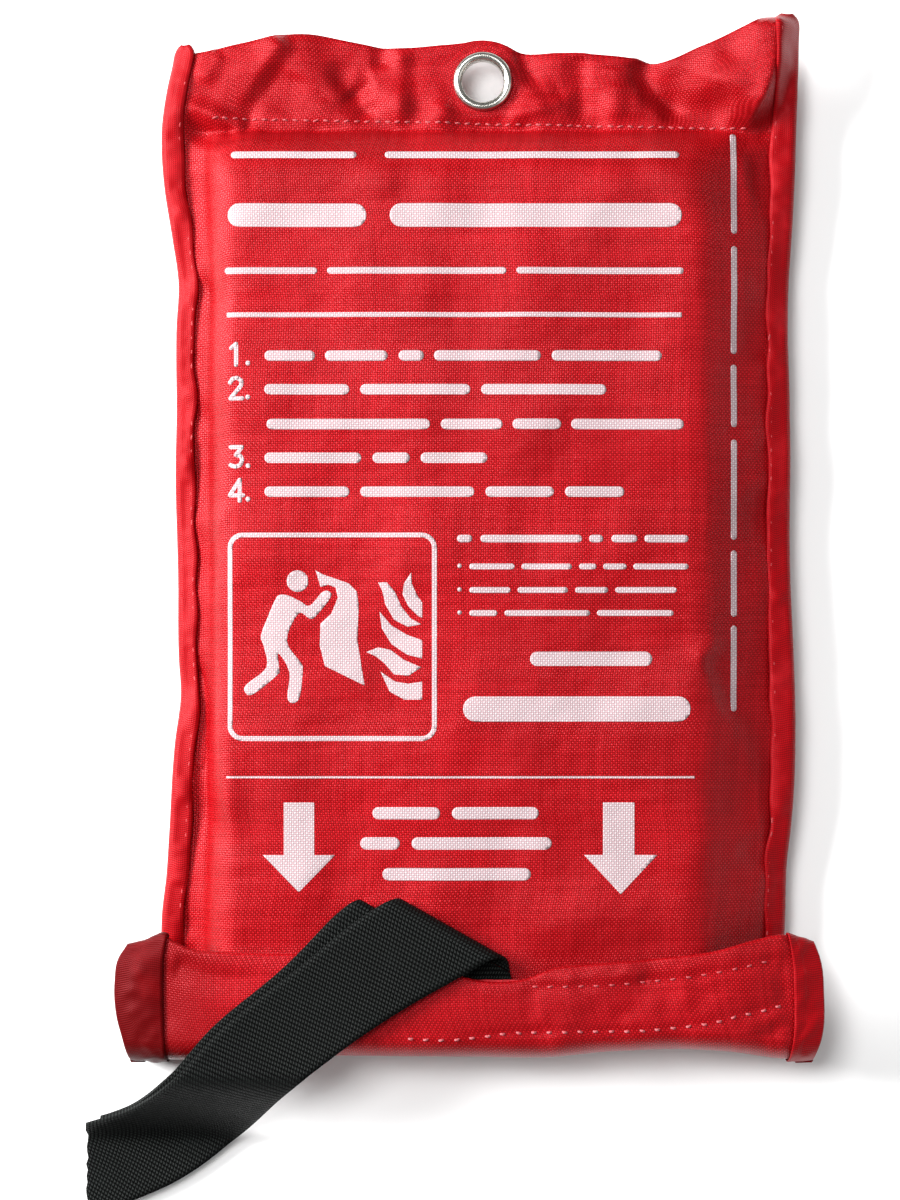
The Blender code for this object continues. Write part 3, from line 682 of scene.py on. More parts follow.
def thread_material(name, base, deep):
    n = Nodes(name)
    place = n.place()
    twist = n.node("ShaderNodeTexWave", wave_type="BANDS", bands_direction="DIAGONAL")
    n.feed(twist.inputs["Vector"], place)
    twist.inputs["Scale"].default_value = 900
    twist.inputs["Distortion"].default_value = 1.5
    fuzz = n.noise(place, 2500, 2)
    colour = n.mix(n.times(twist.outputs["Fac"], fuzz), deep, base)
    normal = n.bump(twist.outputs["Fac"], 0.12, 0.8)
    roughness = n.plus(0.4, n.times(fuzz, 0.3))
    return n.finish(colour, roughness, normal, Sheen_Weight=0.3)


def nickel_material(name):
    n = Nodes(name)
    place = n.place()
    scratches = n.noise(n.scaled(place, (300, 2600, 300)), 1, 3)
    cloud = n.noise(place, 260, 3)
    colour = n.mix(n.spread(cloud, 0.3, 0.75), (0.40, 0.39, 0.35, 1), (0.60, 0.585, 0.54, 1))
    roughness = n.plus(0.14, n.times(scratches, 0.16))
    normal = n.bump(scratches, 0.004, 0.2)
    return n.finish(colour, roughness, normal, Metallic=1)


def fastener_material(name, base, deep, scale, depth):
    n = Nodes(name)
    place = n.place()
    cells = n.node("ShaderNodeTexVoronoi")
    n.feed(cells.inputs["Vector"], place)
    cells.inputs["Scale"].default_value = scale
    fuzz = n.noise(place, scale * 2.2, 4, 0.7)
    height = n.math("SUBTRACT", fuzz, n.times(cells.outputs["Distance"], 0.4))
    colour = n.mix(n.spread(height, 0.1, 0.6), deep, base)
    roughness = n.plus(0.6, n.times(fuzz, 0.25))
    return n.finish(colour, roughness, n.bump(height, depth, 1), Sheen_Weight=0.06,
                    Sheen_Tint=RED_SHINE["Sheen_Tint"], Specular_IOR_Level=0.2)


def glass_material(name):
    """Satin-woven glass fibre cloth."""
    n = Nodes(name)
    uv, u, v = n.flat()
    place = n.place()
    cell = 0.9
    warp = n.wave(u, cell)
    weft = n.wave(v, cell)
    height = n.math("POWER", n.math("ABSOLUTE", n.times(warp, weft)), 0.6)
    tow = n.noise(n.scaled(uv, (1100, 25, 1)), 1, 2)
    broad = n.noise(place, 18, 4)
    colour = n.mix(n.spread(height, 0, 0.8), (0.27, 0.255, 0.225, 1), (0.50, 0.49, 0.455, 1))
    colour = n.mix(n.spread(tow, 0.45, 0.8, 0, 0.4), colour, (0.56, 0.55, 0.53, 1))
    colour = n.mix(n.spread(broad, 0.45, 0.8, 0, 0.3), colour, (0.42, 0.40, 0.345, 1))
    roughness = n.plus(0.38, n.times(tow, 0.25))
    return n.finish(colour, roughness, n.bump(height, 0.1, 0.9), Sheen_Weight=0.25,
                    Specular_IOR_Level=0.6)


RED, DEEP, PALE = (0.36, 0.0005, 0.0025, 1), (0.11, 0.0002, 0.0006, 1), (0.56, 0.012, 0.020, 1)
MAT_OXFORD = oxford("oxford_red", RED, DEEP, PALE)
# The lip's copy carries painted shade on its left end
MAT_LIP_PAINTED_SHADE = oxford("oxford_red_lip_painted_shade", RED, DEEP, PALE, painted_shade_end=True)
MAT_INK = oxford("printed_white", RED, DEEP, PALE, rough=0.5, sheen=0.1,
                 ink=((0.47, 0.455, 0.46, 1), (0.30, 0.20, 0.22, 1)))
MAT_TAPE = ribbed_tape("binding_red", (0.31, 0.0008, 0.003, 1), (0.13, 0.0004, 0.0015, 1),
                       (0.46, 0.014, 0.020, 1), gloss=0.4)
# A darker copy of the binding tape: painted shade for the flap's left end
MAT_TAPE_PAINTED_SHADE = ribbed_tape("binding_red_painted_shade", (0.085, 0.0003, 0.0006, 1),
                            (0.04, 0.0001, 0.0003, 1), (0.16, 0.001, 0.002, 1), gloss=0.2)
MAT_WEBBING = webbing_weave("webbing_black")
MAT_THREAD = thread_material("thread_pink", (0.60, 0.16, 0.17, 1), (0.36, 0.03, 0.04, 1))
MAT_NICKEL = nickel_material("nickel_plate")
MAT_HOOK = fastener_material("hook_red", (0.50, 0.01, 0.02, 1), (0.16, 0.002, 0.004, 1), 900, 0.15)
MAT_LOOP = fastener_material("loop_red", (0.55, 0.015, 0.025, 1), (0.2, 0.003, 0.005, 1), 1500, 0.3)
MAT_GLASS = glass_material("glass_cloth_white")
MAT_BINDING_THREAD = thread_material("thread_red", (0.62, 0.03, 0.04, 1), (0.30, 0.004, 0.008, 1))
MAT_HEADER_THREAD = thread_material("thread_rose", (0.56, 0.065, 0.075, 1), (0.32, 0.012, 0.02, 1))


# ---------------------------------------------------------------- pouch

def panel_grid(height, columns, rows_y):
    """Grid of a panel: rows up to the header's lower line, then rows that reach the top edge."""
    y = np.repeat(rows_y[:, None], len(columns), axis=1)
    shares = np.linspace(0, 1, 27)[1:]
    header = rows_y[-1] + (smooth_line(TOP_EDGE, columns) - rows_y[-1])[None, :] * shares[:, None]
    y = np.vstack([y, header])
    x = np.repeat(columns[None, :], len(y), axis=0)
    # The cloth opens round the eyelet's barrel
    dy = y - EYELET_Y
    r = np.hypot(x, dy)
    drawn = BARREL_R + r * (GATHER_R - BARREL_R) / GATHER_R
    push = np.where(r < GATHER_R, drawn / np.maximum(r, 1e-6), 1)
    x, y = x * push, EYELET_Y + dy * push
    return np.stack(set_edges(x, y, height(x, y)), -1), r < CUT_R


def arc_columns(count):
    x = np.linspace(-EDGE_X, EDGE_X, 3000)
    z = SEAM_Z + (TOP_Z - SEAM_Z) * np.interp(x, *FLANK)
    s = np.concatenate([[0], np.cumsum(np.hypot(np.diff(x), np.diff(z)))])
    return np.interp(np.linspace(0, s[-1], count), s, x)


def panels():
    rows = np.concatenate([np.arange(CREASE_Y, 100, 2.4), np.arange(100, HEADER_Y, 1.2)])
    grid, drop = panel_grid(back_height, arc_columns(120), rows)
    obj = cloth("back_panel_cloth", grid, MAT_OXFORD, CLOTH, flip=True, drop=drop)
    attach(obj, "pouch", "back_panel")
    rows = np.concatenate([np.arange(MOUTH_Y, 98, 1.15), np.arange(98, HEADER_Y, 0.75)])
    grid, drop = panel_grid(front_height, arc_columns(168), rows)
    obj = cloth("front_panel_cloth", grid, MAT_OXFORD, CLOTH, drop=drop)
    attach(obj, "pouch", "front_panel")


def side_binding(name, side, node):
    """Tape folded over both panels along one side, a little gathered by its stitches."""
    top = BINDING_TOP[side]
    y = np.arange(BINDING_LOW_Y, top, 0.8)
    y = np.append(y, top)
    leg = LEFT_LEG_X if side < 0 else RIGHT_LEG_X
    reach = FACE + 0.3
    rim = 1.1
    outer = BINDING_X - rim
    section = [(leg, reach - 0.15), (leg + 0.12, reach + TAPE), (leg + 0.8, reach + TAPE * 1.05)]
    section += [(x, reach + TAPE + 0.12) for x in np.linspace(leg + 1.6, outer, 5)]
    for a in np.radians(np.linspace(72, -72, 7)):
        section.append((outer + rim * math.cos(a), (reach + TAPE) * math.sin(a)))
    section += [(x, -reach - TAPE) for x in np.linspace(outer, leg + 0.8, 4)]
    section += [(leg, -reach - TAPE), (leg, -reach + 0.1)]
    section = np.array(section)
    x = np.repeat(section[None, :, 0] * side, len(y), axis=0)
    yy = np.repeat(y[:, None], len(section), axis=1)
    lift = np.repeat(section[None, :, 1], len(y), axis=0)
    seed = 21 if side < 0 else 22
    pucker = 0.22 * ripples(yy, x * 0, 6, seed) + 0.3 * ripples(yy, x * 0, 15, seed + 5)
    belly = np.sin(np.clip((np.abs(x) - leg) / (outer - leg), 0, 1) * math.pi)
    lift = lift + np.sign(lift) * belly * np.maximum(pucker, -0.15)
    wander = 0.35 * ripples(yy, x * 0, 18, seed + 9) * smooth_step((BINDING_X - 2 - np.abs(x)) / 3)
    tip = np.clip((yy - (top - 3.2)) / 3.2, 0, 1)
    middle = (BINDING_X + leg) / 2 * side
    x = middle + (x - middle) * np.sqrt(1 - 0.85 * tip ** 2)
    z = seam_z(yy) + lift + header_wave(x, yy)
    grid = np.stack(set_edges(x + wander, yy, z), -1)
    if side > 0:
        grid = grid[:, ::-1]
    obj = cloth(name, grid, MAT_TAPE, TAPE)
    attach(obj, "pouch", node)


def pouch_threads():
    xs = np.linspace(-76, 77, 300)
    ys = 120.6 - 3 * (xs + 74) / 148      # the header's seam runs slightly downhill to the right
    route = np.stack(set_edges(xs, ys, front_height(xs, ys)), -1)
    stitches("header_seam_stitches", ("pouch", "header_stitching"), route, (0, 0, 1), 2.9, 1.7,
             0.24, MAT_HEADER_THREAD, sink=0.2)
    for side, x, node in ((-1, LEFT_THREAD_X, "left_binding_stitching"),
                          (1, RIGHT_THREAD_X, "right_binding_stitching")):
        ys = np.linspace(BINDING_LOW_Y + 1, BINDING_TOP[side] - 2, 400)
        xs = np.full(400, x * side)
        z = seam_z(ys) + (FACE + 0.3 + TAPE) + header_wave(xs, ys)
        stitches(f"{node}_row", ("pouch", node), np.stack(set_edges(xs, ys, z), -1), (0, 0, 1),
                 4, 2.7, 0.27, MAT_BINDING_THREAD)


def turned(name, profile, node):
    """A ring turned about the eyelet's axis from a closed profile of (radius, z)."""
    segments = 96
    profile = np.array(profile, float)
    angles = np.linspace(0, 2 * math.pi, segments, endpoint=False)
    r, z = profile[:, 0], profile[:, 1]
    grid = np.stack([np.outer(np.cos(angles), r), EYELET_Y + np.outer(np.sin(angles), r),
                     np.tile(z, (segments, 1))], -1)
    mesh = bpy.data.meshes.new(name)
    index = np.arange(segments * len(r)).reshape(segments, len(r))
    nxt = np.roll(index, -1, axis=0)
    quads = np.stack([index, nxt, np.roll(nxt, -1, axis=1), np.roll(index, -1, axis=1)], -1)
    mesh.from_pydata((grid.reshape(-1, 3) * MM).tolist(), [], quads.reshape(-1, 4).tolist())
    bm = bmesh.new()
    bm.from_mesh(mesh)
    bmesh.ops.recalc_face_normals(bm, faces=bm.faces[:])
    bm.to_mesh(mesh)
    bm.free()
    mesh.shade_smooth()
    mesh.set_sharp_from_angle(angle=math.radians(50))
    attach(new_object(name, mesh, MAT_NICKEL), "pouch", node)


def eyelet():
    top = SEAM_Z + FACE + 0.25
    low = SEAM_Z - FACE - 0.25
    dome = [(HOLE_R + 1.25 - 1.3 * math.cos(a), top + 0.35 + 1.25 * math.sin(a))
            for a in np.radians(np.linspace(0, 80, 9))]
    dome += [(HOLE_R + 1.5, top + 1.62), (7.9, top + 1.38), (8.2, top + 1), (8.35, top + 0.55),
             (8.38, top + 0.2), (8.3, top - 0.05)]
    flange = [(HOLE_R, low - 1.2)] + [(HOLE_R, top - 0.4)] + dome + [(7.4, top), (6.35, top),
             (6.2, low - 0.75), (6.9, low - 0.9), (7.2, low - 1.15), (7, low - 1.45),
             (6.3, low - 1.5)]
    turned("eyelet_flange_ring", flange, "eyelet_flange")
    washer = [(6.5, low), (6.5, low - 0.5), (7.4, low - 0.62), (8.1, low - 0.45), (8.35, low - 0.1),
              (8.3, low + 0.05)]
    turned("eyelet_washer_ring", washer, "eyelet_washer")


# ---------------------------------------------------------------- flap

def flap_level(x):
    """The lip's height before its folds."""
    beyond = np.maximum(np.maximum(FLAP_FLAT_X[0] - x, x - FLAP_FLAT_X[1]), 0)
    return LIP_Z - FLAP_DROP * (beyond / FLAP_DROP_RUN) ** 2


LIP_FOLDS = [
    ([(21.5, -142), (21.5, -132), (22.5, -121)], 0.7, 5, 3.5, 1.8),
    ([(10.5, -142), (10, -120)], -0.5, 3, 3, 1.8),
    ([(13, -118), (20, -121), (27, -119.5)], 0.5, 2, 2.2, 1.6),
    ([(38, -116), (44, -120.5)], 0.5, 2.2, 2.2, 1.6),
    ([(84, -133), (77, -136.5), (70, -138)], -0.8, 2, 2, 1.5),
    ([(85, -129), (78, -131.5), (72, -131)], 0.5, 2, 2.5, 1.7),
    ([(85.5, -112), (82.5, -120), (85, -127)], -0.6, 2, 1.6, 1.6)]
LOWER_SEAM = [(-22.4, -136.1), (-10.6, -136.6), (-0.8, -135.8), (8.1, -134.7), (25.5, -134.3),
              (43.4, -134), (61.3, -132.2), (69.4, -130.3), (77.3, -128.7), (84, -127)]
UPPER_SEAM = [(12, -121.8), (30, -121.6), (42, -120.8), (58, -119), (72.2, -116.4),
              (83, -114)]


def lip_height(x, y):
    """The lip's outer face away from its rounded lower edge."""
    folds = fold_sum(x, y, LIP_FOLDS, (0.25, 0.25))
    folds += 0.22 * ripples(x, y, 21, 31) + 0.07 * ripples(x, y, 8, 32)
    z = flap_level(x) + folds * smooth_step((x - 9) / 8)
    left = fold(x, y, [(-86, -115), (-74.2, -118.9), (-58, -120.2)], -0.7, 2.2, 3.5, 1.6,
                ends=(0.1, 0.4))
    left += fold(x, y, [(-88.5, -136), (-89, -113)], -0.6, 2, 4, 1.7)
    left += fold(x, y, [(-95.5, -138), (-96, -113)], 0.5, 3.5, 4, 1.8) * (x < -88)
    z = z + left
    seam = fold(x, y, LOWER_SEAM, -0.35, 1.3, 1.3, 1.8, ends=(0.05, 0.05))
    seam += fold(x, y, UPPER_SEAM, -0.3, 1.2, 1.2, 1.8, ends=(0.05, 0.05))
    return z + seam * smooth_step((x + 10) / 8)



def flap_profile(x):
    """Rows of the flap's upper piece at each x: up the gusset, round the crease, over the lip,
    round the hem and back under it."""
    front, edge = smooth_line(FLAP_FRONT, x), smooth_line(LIP_EDGE, x)
    crease = lip_height(x, front + CREASE_REACH)
    rows = []
    for s in np.linspace(0, 1, 4)[:-1]:
        rows.append((front, SPLIT_Z + (crease - CREASE_FALL - SPLIT_Z) * s))
    for a in np.radians(np.linspace(180, 92, 12)):
        rows.append((front + CREASE_REACH * (1 + math.cos(a)),
                     crease - CREASE_FALL + CREASE_FALL * math.sin(a)))
    start, stop = front + CREASE_REACH, edge - HEM_ROUND
    for s in np.linspace(0, 1, 30):
        y = start + (stop - start) * s
        rows.append((y, lip_height(x, y)))
    high = lip_height(x, stop)
    for a in np.radians(np.linspace(70, -90, 7)):
        rows.append((stop + HEM_ROUND * math.cos(a), high - HEM_ROUND + HEM_ROUND * math.sin(a)))
    rows.append((stop - HEM_BACK / 2, high - 2 * HEM_ROUND - 0.05))
    rows.append((stop - HEM_BACK, high - 2 * HEM_ROUND - 0.05))
    return np.array([np.stack([x, y + 0 * x, z + 0 * x], -1) for y, z in rows])


def lower_profile(x):
    """Rows of the flap's lower piece: from under the pouch, round, and up the gusset."""
    front = smooth_line(FLAP_FRONT, x)
    rows = []
    for a in np.radians(np.linspace(-90, 0, 7)):
        rows.append((front - GUSSET_ROUND * math.cos(a) + GUSSET_ROUND,
                     GUSSET_LOW_Z + GUSSET_ROUND * math.sin(a)))
    for s in np.linspace(0, 1, 8)[1:]:
        rows.append((front, GUSSET_LOW_Z + (SPLIT_Z - SPLIT_GAP - GUSSET_LOW_Z) * s))
    bulge = 0.5 * ripples(x, x * 0, 40, 35)
    made = []
    for k, (y, z) in enumerate(rows):
        share = math.sin(math.pi * min(1, k / (len(rows) - 1)))
        made.append(np.stack([x, y + bulge * share * 0.6, z + 0 * x], -1))
    return np.array(made)


def shape_ends(grid):
    """Gives the flap its rounded ends: x moves with y on the two end stretches."""
    x, y = grid[..., 0], grid[..., 1]
    left = smooth_line(FLAP_LEFT, y) - FLAP_ENDS[-1]
    right = smooth_line(FLAP_RIGHT, y) - FLAP_ENDS[1]
    moved = grid.copy()
    moved[..., 0] = (x + left * smooth_step((FLAP_BEND[-1] - x) / 16)
                     + right * smooth_step((x - FLAP_BEND[1]) / 13))
    return moved


def flap_columns():
    return np.concatenate([np.arange(FLAP_ENDS[-1], FLAP_BEND[-1], 0.8),
                           np.arange(FLAP_BEND[-1], FLAP_BEND[1], 1.3),
                           np.arange(FLAP_BEND[1], FLAP_ENDS[1], 0.8), [FLAP_ENDS[1]]])


def flap_cloth():
    x = flap_columns()
    obj = cloth("flap_lip_cloth", shape_ends(flap_profile(x)), MAT_LIP_PAINTED_SHADE, CLOTH)
    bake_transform(obj)
    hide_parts("flap_lip")
    obj = cloth("flap_gusset_cloth", shape_ends(lower_profile(x)), MAT_OXFORD, CLOTH)
    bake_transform(obj)
    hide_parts("flap_gusset")


def profile_normals(grid):
    """Outward normals of a flap grid."""
    along = np.gradient(grid, axis=0)
    across = np.gradient(grid, axis=1)
    n = np.cross(across, along)
    return n / np.maximum(np.linalg.norm(n, axis=-1, keepdims=True), 1e-9)


def end_binding(name, side, profile, rows, seed):
    """Tape folded over one end of a flap piece."""
    inward = np.linspace(0, FLAP_BINDING[side], 12)
    x = FLAP_ENDS[side] - side * inward
    base = profile(np.sort(x))
    if side > 0:
        base = base[:, ::-1]
    shaped = shape_ends(base[rows])
    normal = profile_normals(shaped)
    if side > 0:
        normal = -normal
    ripple = 0.16 * ripples(arc_length(shaped, 0), shaped[..., 0], 5, seed)
    fade = np.sin(inward / FLAP_BINDING[side] * math.pi)[None, :]
    outer_lift = 0.42 + TAPE * 0.5 + np.maximum(ripple, -0.1) * fade
    outer = shaped + normal * outer_lift[..., None]
    inner = shaped - normal * (CLOTH + 0.3 + TAPE * 0.5)
    rim = shaped[:, :1]
    out_dir = np.array([side, 0, 0]) * 0.75
    n0 = normal[:, :1]
    turn = [rim + out_dir * math.cos(a) + n0 * (-CLOTH / 2 + 1 * math.sin(a))
            for a in np.radians(np.linspace(60, -60, 5))]
    grid = np.concatenate([outer[:, ::-1]] + turn + [inner], axis=1)
    if side < 0:
        grid = grid[:, ::-1]
    # The left end's tape is the darker copy, painted shade
    return cloth(name, grid, MAT_TAPE_PAINTED_SHADE if side < 0 else MAT_TAPE, TAPE * 0.7, 0)


def flap_bindings():
    for side, word in ((-1, "left"), (1, "right")):
        # The tape leaves out the two rows of the hem that lie back under the lip
        obj = end_binding(f"lip_{word}_end_tape", side, flap_profile, slice(0, -2), 41)
        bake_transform(obj)
        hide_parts(f"lip_{word}_binding")
        obj = end_binding(f"gusset_{word}_end_tape", side, lower_profile, slice(0, None), 42)
        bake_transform(obj)
        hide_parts(f"gusset_{word}_binding")


def flap_threads():
    for name, seam, node in (("flap_lower_stitches", LOWER_SEAM, "flap_lower_stitching"),
                             ("flap_upper_stitches", UPPER_SEAM, "flap_upper_stitching")):
        line = curve(seam, np.linspace(0, 1, 300))
        x, y = line[:, 0], line[:, 1]
        front = smooth_line(FLAP_FRONT, x)
        z = lip_height(x, y)
        short = y < front + CREASE_REACH
        c = np.clip((y - front) / CREASE_REACH - 1, -1, 1)
        crease = lip_height(x, front + CREASE_REACH)
        z = np.where(short, crease - CREASE_FALL + CREASE_FALL * np.sqrt(1 - c ** 2), z)
        points = shape_ends(np.stack([x, y, z], -1)[None])[0]
        thin = "upper" in name
        stitches(name, ("flap_lip", node), points, (0, -0.15, 1), 4.3, 1.6,
                 0.24 if thin else 0.34, MAT_HEADER_THREAD if thin else MAT_THREAD)


HOOK_PITCH, HOOK_R, STRIP_THICK = 1.5, 0.14, 0.7


def hook_strip(name, node):
    """A backing tape with rows of hooks that lean both ways."""
    low = TOP_Z + 0.3
    a, b = [np.array(corner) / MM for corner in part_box(node)]
    size = b - a
    steps_x, steps_y = int(size[0] / HOOK_PITCH), int(size[1] / HOOK_PITCH)
    bm = bmesh.new()
    tape = bmesh.ops.create_grid(bm, x_segments=steps_x, y_segments=steps_y, size=0.5)
    for v in tape["verts"]:
        v.co = Vector((a[0] + (v.co.x + 0.5) * size[0], a[1] + (v.co.y + 0.5) * size[1],
                       low + STRIP_THICK))
    top = bmesh.ops.extrude_face_region(bm, geom=bm.faces[:])
    for v in [g for g in top["geom"] if isinstance(g, bmesh.types.BMVert)]:
        v.co.z = low
    rng = np.random.default_rng(51)
    for i in range(1, steps_x):
        for j in range(1, steps_y):
            x = a[0] + size[0] * i / steps_x + (0.35 if j % 2 else -0.35)
            y = a[1] + size[1] * j / steps_y
            lean = 1 if i % 2 else -1
            loops = []
            for dy, dz in [(0, 0.6), (0.05, 1.3), (0.3 * lean, 1.85), (0.62 * lean, 1.7)]:
                loops.append([bm.verts.new((x + HOOK_R * cx, y + dy + HOOK_R * cy * 0.8
                                            + rng.uniform(-0.02, 0.02), low + dz))
                              for cx, cy in ((1, 0), (0, 1), (-1, 0), (0, -1))])
            tube(bm, loops)
    bmesh.ops.recalc_face_normals(bm, faces=bm.faces[:])
    bmesh.ops.scale(bm, vec=(MM, MM, MM), verts=bm.verts[:])
    attach(mesh_object(name, bm, MAT_HOOK, smooth=False), "pouch", node)


def fasteners():
    for word in ("left", "right"):
        hook_strip(f"hook_strip_{word}_tape", f"hook_strip_{word}")
    a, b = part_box("loop_strip")
    xx, yy = np.meshgrid(np.linspace(a[0] / MM, b[0] / MM, 150),
                         np.linspace(a[1] / MM, b[1] / MM, 18))
    z = flap_level(xx) - CLOTH - 1 + 0.12 * ripples(xx, yy, 2.2, 61)
    grid = np.stack([xx, yy, z], -1)[:, ::-1]
    obj = grid_object("loop_strip_nap", grid, grid[..., :2], MAT_LOOP)
    thicken(obj, STRIP_THICK)
    attach(obj, "flap_lip", "loop_strip")


# ---------------------------------------------------------------- pull tabs

FOLD_ALONG = np.array([math.cos(FOLD_DIRECTION), math.sin(FOLD_DIRECTION)])
FOLD_ACROSS = np.array([FOLD_ALONG[1], -FOLD_ALONG[0]])
FOLD_LEAN = FOLD_DIRECTION - LEAD_DIRECTION
FOLD_LENGTH = TAB_WIDTH / math.sin(FOLD_LEAN)


def offset_path(path, distance):
    run = np.gradient(path, axis=0)
    run /= np.linalg.norm(run, axis=1, keepdims=True)
    return path + np.stack([-run[:, 1], run[:, 0]], -1) * distance


def mouth_path(level):
    centre = np.array(MOUTH_TURN)
    radius = TAB_LEAD_Z - centre[1]
    path = [tuple(p) for p in curve(TAB_ROOT, np.linspace(0, 0.9, 10))]
    for a in np.radians([205, 190, 175, 160, 145, 130, 115, 100, 90]):
        path.append((centre[0] + math.cos(a) * radius, centre[1] + math.sin(a) * radius))
    path.append((centre[0] + 0.8, centre[1] + radius))
    return offset_path(np.array(path), level)


def tab_lead(name, tab, node):
    path = mouth_path(tab["level"])
    columns = []
    for w in np.linspace(0, 1, ACROSS_COUNT):
        hit = np.array(tab["fold"]) + FOLD_ALONG * FOLD_LENGTH * w
        mouth_y, lead_z = path[-1]
        mouth_x = hit[0] - (hit[1] - mouth_y) / math.tan(LEAD_DIRECTION)
        column = [(mouth_x, y, z) for y, z in path]
        for s in np.linspace(0, 1, 18)[1:]:
            column.append((mouth_x + (hit[0] - mouth_x) * s, mouth_y + (hit[1] - mouth_y) * s, lead_z))
        columns.append(column)
    grid = np.array(columns).transpose(1, 0, 2)
    lengths = arc_length(grid, 0)
    uv = np.stack([np.tile(np.linspace(0, TAB_WIDTH, ACROSS_COUNT), (len(grid), 1)), lengths], -1)
    obj = grid_object(name, grid, uv, MAT_WEBBING)
    thicken(obj, WEBBING, 0)
    attach(obj, "blanket", node)


def drape_heights(level):
    top = TAB_LEAD_Z + 2 * TAB_A["bend"] - LAYER_PITCH
    y = np.linspace(-90, -200, 201)
    z = top + (TAB_FLOOR_Z - top) * smooth_step((DRAPE_START_Y - y) / DRAPE_RUN)
    moved = offset_path(np.stack([y, z], -1), -level)
    return moved[::-1]


def tab_tail(name, tab, node, seed):
    r = tab["bend"]
    lead_z = mouth_path(tab["level"])[-1][1]
    w = np.linspace(0, 1, ACROSS_COUNT)
    fold_start = np.array(tab["fold"])
    hits = fold_start + FOLD_ALONG * (FOLD_LENGTH * w)[:, None]
    rows = []
    for a in np.radians(np.linspace(4, 180, 14)):
        p = hits + FOLD_ALONG * (r * a / math.tan(FOLD_LEAN)) + FOLD_ACROSS * (r * math.sin(a))
        rows.append(np.column_stack([p, np.full(len(w), lead_z + r * (1 - math.cos(a)))]))
    shift = math.pi * r / math.tan(FOLD_LEAN)
    start = fold_start + FOLD_ALONG * (shift + FOLD_LENGTH / 2)
    points = [tuple(start)] + tab["route"]
    heights = drape_heights(tab["tail_level"])
    ts = np.linspace(0, 1, 120)[1:]
    centres = curve(points, ts)
    runs = curve(points, np.minimum(ts + 0.01, 1)) - curve(points, ts - 0.01)
    runs /= np.linalg.norm(runs, axis=1, keepdims=True)
    end_rows = []
    for t, centre, run in zip(ts, centres, runs):
        square = np.array([run[1], -run[0]]) * (TAB_WIDTH / 2)
        half = FOLD_ALONG * (FOLD_LENGTH / 2)
        half = half + (square - half) * smooth_step(t / 0.3)
        if t > 0.9:
            blunt = np.array([0, TAB_WIDTH / 2 / abs(run[0])])
            half = half + (blunt - half) * (t - 0.9) / 0.1
        p = centre + half * (2 * w - 1)[:, None]
        z = np.interp(p[:, 1], heights[:, 0], heights[:, 1])
        end_rows.append(np.column_stack([p, z]))
    end_rows = np.array(end_rows)
    # Slight cupping and long waves, only upwards so that it stays clear of what is under it
    t = ts[:, None]
    wave = 0.25 * (1 + ripples(t * 120, w[None, :] * 12, 42, seed)) * smooth_step(t / 0.15)
    wave += 0.45 * (2 * w[None, :] - 1) ** 2 * smooth_step((t - 0.1) / 0.2)
    settle = 0.35 if tab["tail_level"] == 0 else 1
    end_rows[..., 2] += np.maximum(wave, 0) * settle
    last = end_rows[-1].copy()
    rng = np.random.default_rng(seed)
    last[:, 0] += rng.uniform(-0.5, 0.3, len(w))
    end_rows[-1] = last
    grid = np.concatenate([np.array(rows), end_rows])
    lengths = arc_length(grid, 0)
    uv = np.stack([np.tile(w * TAB_WIDTH, (len(grid), 1)), lengths], -1)
    obj = grid_object(name, grid, uv, MAT_WEBBING)
    thicken(obj, WEBBING, 0)
    top = float(grid[14, ACROSS_COUNT // 2, 2])
    a = np.append(start, top) * MM
    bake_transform(obj)
    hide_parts(node)


def tabs():
    for word, tab in (("a", TAB_A), ("b", TAB_B)):
        tab_lead(f"tab_{word}_lead_webbing", tab, f"tab_{word}_lead")
    for word, tab, seed in (("a", TAB_A, 71), ("b", TAB_B, 72)):
        tab_tail(f"tab_{word}_tail_webbing", tab, f"tab_{word}_tail", seed)
    y = TAB_ROOT[0][0] - WEBBING / 2 - LAYER_PITCH
    xs = np.linspace(-28, -4, 40)
    route = np.stack([xs, np.full(40, y), np.full(40, TAB_ROOT_Z)], -1)
    stitches("tab_root_stitches", ("blanket", "tab_stitching"), route, (0, -1, 0), 3.6, 2.6, 0.3,
             MAT_THREAD)


# ---------------------------------------------------------------- folded blanket

def zigzag(s, panel, count, spacing):
    """A strip folded back and forth: place along the panels and across them, and its direction."""
    turn = math.pi * spacing / 2
    unit = panel + turn
    k = np.minimum((s // unit).astype(int), count - 1)
    local = s - k * unit
    forward = (k % 2) == 0
    on_turn = local > panel
    a = np.clip((local - panel) / turn, 0, 1) * math.pi
    straight = np.where(forward, np.minimum(local, panel), panel - np.minimum(local, panel))
    reach = np.where(on_turn, np.sin(a) * spacing / 2, 0)
    place = straight + np.where(forward, reach, -reach)
    level = k * spacing + np.where(on_turn, (1 - np.cos(a)) * spacing / 2, 0)
    heading = np.where(forward, 1, -1) * np.cos(np.where(on_turn, a, 0))
    rise = np.sin(np.where(on_turn, a, 0))
    return place, level, heading, rise


def strip_steps(count, panel, turn, on_panel, on_turn):
    """Places along a folded strip, closer together on its turns."""
    steps = []
    for k in range(count):
        steps += list(k * (panel + turn) + np.linspace(0, panel, on_panel))
        if k < count - 1:
            steps += list(k * (panel + turn) + panel + turn * np.linspace(0, 1, on_turn)[1:-1])
    return np.array(steps)


